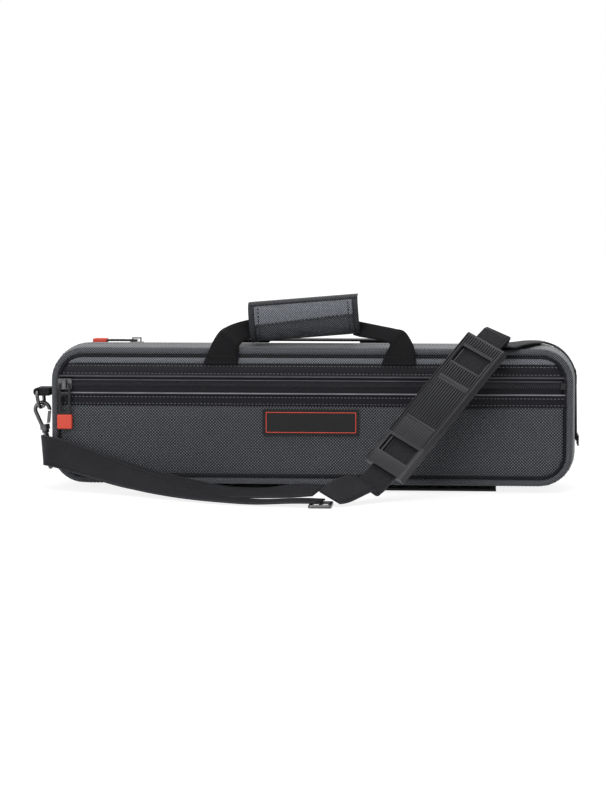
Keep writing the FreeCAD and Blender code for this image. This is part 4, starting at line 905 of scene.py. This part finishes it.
for end in bmesh.ops.holes_fill(bm, edges=bm.edges, sides=0)["faces"]:
    bmesh.ops.inset_region(bm, faces=[end], thickness=0.0035, depth=0)
    bmesh.ops.translate(bm, vec=(-math.copysign(0.003, end.calc_center_median().x), 0, 0), verts=end.verts)
bmesh.ops.transform(bm, matrix=Matrix.Translation(wrap_middle) @ wrap_turn.to_4x4(), verts=bm.verts)
sleeve = puffed("wrap_sleeve", bm, shaded_wrap_cloth, "handle", 0.0025, 0.0008)
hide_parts("handle_wrap")


def wrap_sheet(name, corners, finish, lift, wall, steps):
    """A piece of cloth lying on the sleeve's front, between four corners (along, height)."""
    bm = bmesh.new()
    bmesh.ops.create_grid(bm, x_segments=steps[0], y_segments=steps[1], size=0.5)
    for vert in bm.verts:
        across, up = vert.co.x + 0.5, vert.co.y + 0.5
        low = Vector(corners[0]).lerp(Vector(corners[1]), across)
        high = Vector(corners[3]).lerp(Vector(corners[2]), across)
        place = low.lerp(high, up)
        vert.co = on_wrap(place.x, place.y, lift)
    made = make(name, bm, finish, "handle", lambda spot: spot - wrap_middle, wall)


wrap_sheet("wrap_flap", ((-0.0463, -0.2), (0.0463, 0.04), (0.0463, 0.99), (-0.0463, 0.99)), lit_flap_cloth,
           0.0009, 0.0009, (24, 10))
wrap_sheet("wrap_binding", ((-0.0475, 0.80), (0.0475, 0.80), (0.0475, 1.0), (-0.0475, 1.0)), bound_cloth,
           0.0016, 0.0010, (30, 5))
for name, left, right in (("wrap_left_hem", -0.0475, -0.0425), ("wrap_right_hem", 0.0425, 0.0475)):
    wrap_sheet(name, ((left, -1.0), (right, -1.0), (right, 0.82), (left, 0.82)), bound_cloth, 0.0014, 0.0010,
               (4, 18))
rows = [[on_wrap(along / 1000, -0.16 + (along + 46) / 92 * 0.24, 0.0012) for along in range(-42, 43, 6)]]
for along in (-0.0432, 0.0432, -0.0390, 0.0390):
    rows.append([on_wrap(along, -0.85 + step / 12 * 1.62, 0.0017 if abs(along) > 0.041 else 0.0012)
                 for step in range(13)])
rows.append([on_wrap(along / 1000, 0.83, 0.0020) for along in range(-46, 47, 4)])
stitch_rows("wrap_stitches", rows, dark_thread, "handle", 0.0033, 0.0024, 0.0009)

# Rear loop: a flat loop of black webbing that lies on the top behind the handle. Its two ends
# are folded under and sewn down along the rear edge.

top_web = ribbed_cloth("top_web", (0.004, 0.004, 0.005), (0.022, 0.022, 0.025), 0.0013, 0.0004, along="X")
softened("rear_loop", "rear_loop_web", top_web, 0.0005)
softened("rear_loop_feet", "rear_loop_web_feet", top_web, 0.0005)

# Ring, hook and eye at the left end: the tab is folded webbing sewn to the end wall, and the
# metal parts are dark nickel, bent and cast. The strap's slide is cast too.

flat_web = ribbed_cloth("flat_web", (0.004, 0.004, 0.005), (0.022, 0.022, 0.025), 0.0013, 0.0004, along="Z")
softened("ring_tab", "ring_tab_web", flat_web, 0.0005)
dress(dark_nickel, "d_ring", "snap_hook", "hook_gate", "hook_eye", "strap_adjuster")

# Shoulder strap: black webbing 25 mm wide. It goes round the eye, doubles back to the slide,
# and runs on through the pad, over the top and down to a sewn patch at the right end.

strap_width, strap_wall, strap_step = 0.0254, 0.0014, 0.004
strap_web = ribbed_cloth("strap_web", (0.004, 0.004, 0.005), (0.030, 0.030, 0.035), 0.0013, 0.0004,
                         half=strap_width / 2)


def strap(name, route, node):
    """Webbing through stations, each a place in millimetres and the way its width points."""
    edges_a, edges_b = [], []
    for index, (place, across) in enumerate(route):
        before, after = route[max(index - 1, 0)][0], route[min(index + 1, len(route) - 1)][0]
        ahead = (Vector(after) - Vector(before)).normalized()
        side = Vector(across)
        side = (side - ahead * side.dot(ahead)).normalized() * strap_width / 2
        edges_a.append(Vector(place) / 1000 - side)
        edges_b.append(Vector(place) / 1000 + side)
    length = sum((a - b).length for a, b in zip(edges_a, edges_a[1:]))
    count = max(12, round(length / strap_step))
    made = webbing(name, edges_a, edges_b, strap_web, "case", strap_wall, count)
    made.modifiers["thickness"].offset = 0
    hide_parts(node)


half_length, half_depth, pull_low, tall = 225.0, 42.0, 53.1, 117.5
loop_middle = Vector((-231.8, -26.5, 33.4))
bar = (-0.139, 0, 0.990)
round_eye = [(loop_middle + 2.6 * Vector((math.cos(turn), math.sin(turn), 0)), bar)
             for turn in map(math.radians, (-12, 22, 56, 90, 124, 158, 192))]


def stations(height, *shares):
    """Stations given as shares of the case's half length, its half depth and a height."""
    return [((half_length * x, half_depth * y, height * z), across) for x, y, z, across in shares]


strap("strap_lower", round_eye + stations(
    pull_low,
    (-1.037, -0.905, 0.633, (-0.06, 0, 1)), (-1.011, -1.119, 0.637, (0.05, 0.1, 1)),
    (-0.947, -1.214, 0.584, (0.25, 0.3, 0.88)), (-0.844, -1.381, 0.462, (0.35, 0.55, 0.75)),
    (-0.733, -1.619, 0.330, (0.35, 0.75, 0.56)), (-0.622, -1.952, 0.226, (0.33, 0.8, 0.45)),
    (-0.511, -2.333, 0.144, (0.3, 0.9, 0.3)), (-0.400, -2.738, 0.080, (0.22, 0.95, 0.12)),
    (-0.289, -3.048, 0.049, (0.1, 0.98, 0.03)), (-0.156, -3.286, 0.042, (0, 1, 0.02)),
    (-0.022, -3.429, 0.076, (0, 1, 0.02)), (0.075, -3.548, 0.084, (0, 1, 0))), "strap_lower_run")
strap("strap_return", [(loop_middle + Vector((2.54, -2.14, 0)), bar)] + stations(
    pull_low,
    (-1.017, -0.857, 0.628, (-0.08, 0, 1)), (-1.002, -1.038, 0.628, (0, 0, 1)),
    (-0.964, -1.095, 0.602, (0.12, 0.08, 1)), (-0.889, -1.143, 0.509, (0.3, 0.3, 0.9)),
    (-0.778, -1.310, 0.376, (0.35, 0.45, 0.8)), (-0.667, -1.524, 0.263, (0.33, 0.6, 0.68)),
    (-0.556, -1.750, 0.184, (0.3, 0.72, 0.5)), (-0.444, -2.010, 0.132, (0.25, 0.85, 0.4)),
    (-0.311, -2.330, 0.100, (0.1, 0.95, 0.22)), (-0.178, -2.548, 0.108, (0, 0.97, 0.15)),
    (-0.044, -2.810, 0.175, (0, 0.95, 0.28)), (0.062, -3.048, 0.205, (0, 0.98, 0.2))), "strap_return_layer")

pad_middle = Vector((0.10925, -0.0825, 0.0770))
pad_up = Vector((0.60085, 0.32002, 0.73251))
pad_side = Vector((0.76411, -0.49906, -0.40874))
pad_out = pad_side.cross(pad_up)
through = [((pad_middle + pad_up * reach) * 1000, -pad_side) for reach in (-0.0773, 0.0733)]
corner = [((197 + 31.4 * math.cos(turn), 6.0, 95.5 + 31.4 * math.sin(turn)), (0, 1, 0))
          for turn in map(math.radians, (76, 64, 52, 40, 28, 16, 4))]
strap("strap_upper", stations(
    tall, (0.107, -3.476, 0.060, (-0.35, 0.8, 0.4)), (0.147, -3.286, 0.098, (-0.64, 0.47, 0.6)),
    (0.222, -2.845, 0.143, (-0.75, 0.5, 0.45))) + through + stations(
    tall, (0.702, -1.155, 1.092, (-0.75, 0.55, 0.12)), (0.738, -0.905, 1.069, (-0.8, 0.58, 0.02)),
    (0.782, -0.619, 1.083, (-0.75, 0.66, 0)), (0.827, -0.310, 1.087, (-0.6, 0.8, 0)),
    (0.867, -0.048, 1.087, (-0.3, 0.95, 0))) + corner + [((229.25, 6.0, 42.5), (0, 1, 0))],
    "strap_upper_run")
dress(black_rubber, "strap_anchor")

# Shoulder pad: moulded rubber that the strap threads through. It has raised rails down its
# sides, ribs in three fields, short ribs by the top window and two windows that show the strap.

pad_rubber = grained("pad_rubber", (0.0045, 0.0045, 0.006), (0.011, 0.011, 0.014), 0.36, 900, 0.0001,
                     specular=0.3)
pad_place = Matrix.Translation(pad_middle) @ Matrix((pad_side, pad_up, pad_out)).transposed().to_4x4()


def pad_bar(bm, across, along, wide, long, high=0.0009, base=0.0040, trim=0.35):
    """A straight bar on the pad's face, with its upper edges rounded."""
    made = bmesh.ops.create_cube(bm, size=1, matrix=Matrix.Translation((across, along, base + high / 2))
                                 @ Matrix.Diagonal((wide, long, high, 1)))["verts"]
    edges = {edge for vert in made for edge in vert.link_edges
             if all(end.co.z > base + high / 2 for end in edge.verts)}
    round_off(bm, list(edges), min(wide, high) * trim)


bm = bmesh.new()
bmesh.ops.create_grid(bm, x_segments=3, y_segments=5, size=1)
columns = (-0.020, -0.0155, 0.0155, 0.020)
lines = (-0.071, -0.0576, -0.0416, 0.0416, 0.0576, 0.071)
for vert in bm.verts:
    vert.co = (columns[round((vert.co.x + 1) * 1.5)], lines[round((vert.co.y + 1) * 2.5)], 0.0011)
windows = [face for face in bm.faces if abs(face.calc_center_median().x) < 0.01
           and 0.045 < abs(face.calc_center_median().y) < 0.055]
bmesh.ops.delete(bm, geom=windows, context="FACES")
draw_out(bm, (0, 0, 0.0029))
sharp = [edge for edge in bm.edges if edge.is_manifold and edge.calc_face_angle(0) > 1
         and edge.calc_length() > 0.0028]
round_off(bm, sharp, 0.0007)
pad_bar(bm, 0, 0, 0.040, 0.142, 0.0029, -0.0040, 0.25)
for across in (-0.0167, 0.0167):
    pad_bar(bm, across, 0, 0.0066, 0.142, 0.0024, -0.0012, 0.02)
bmesh.ops.transform(bm, matrix=pad_place, verts=bm.verts)
block = make("pad_block", bm, pad_rubber, "shoulder_pad")
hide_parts("shoulder_pad")

bm = bmesh.new()
for across in (-0.0190, -0.0166, 0.0166, 0.0190):
    pad_bar(bm, across, 0.0155, 0.0011, 0.1075)
rib_places = [-0.0144 + step * 0.0024 for step in range(13)]
for low, high, rise in ((0.0272, 0.0400, 0.0010), (-0.0183, 0.0222, 0.0010), (-0.0385, -0.0218, 0.0004)):
    for across in rib_places:
        pad_bar(bm, across, (low + high) / 2, 0.0011, high - low, rise)
for across in rib_places:
    pad_bar(bm, across, 0.0650, 0.0012, 0.0085)
for along in (0.0247, -0.0201):
    pad_bar(bm, 0, along, 0.0325, 0.0015, 0.0004)
bmesh.ops.transform(bm, matrix=pad_place, verts=bm.verts)
grips = make("pad_ribs", bm, pad_rubber, "shoulder_pad")

# Inside: the foam wall with its plush lining, and the plush insert with a channel for each of
# the flute's three joints. The lid has a foam core and a plush pad.

foam = grained("foam", (0.05, 0.05, 0.055), (0.12, 0.12, 0.13), 0.9, 1400, 0.0004)
plush = grained("plush", (0.009, 0.009, 0.011), (0.06, 0.06, 0.067), 0.95, 1300, 0.0009, sheen=0.3)
softened("foam_shell", "foam_wall", foam, 0.0004)
softened("lining", "plush_lining", plush, 0.0003)
softened("flute_insert", "plush_insert", plush, 0.0012)
softened("lid_foam_core", "lid_foam", foam, 0.0008)
bm = bmesh.new()
bm.from_mesh(frame["nodes"]["lid_pad"].data)
bmesh.ops.remove_doubles(bm, verts=bm.verts, dist=1e-6)
low, high = (Vector(corner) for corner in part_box("lid_pad"))
slack = (0.992, 0.85, 0.97)
bmesh.ops.translate(bm, verts=bm.verts, vec=-(low + high) / 2)
bmesh.ops.scale(bm, verts=bm.verts, vec=slack)
bmesh.ops.translate(bm, verts=bm.verts, vec=(low + high) / 2)
lid_cushion = puffed("lid_plush_pad", bm, plush, "lid", 0.0035, 0.0014)
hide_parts("lid_pad")
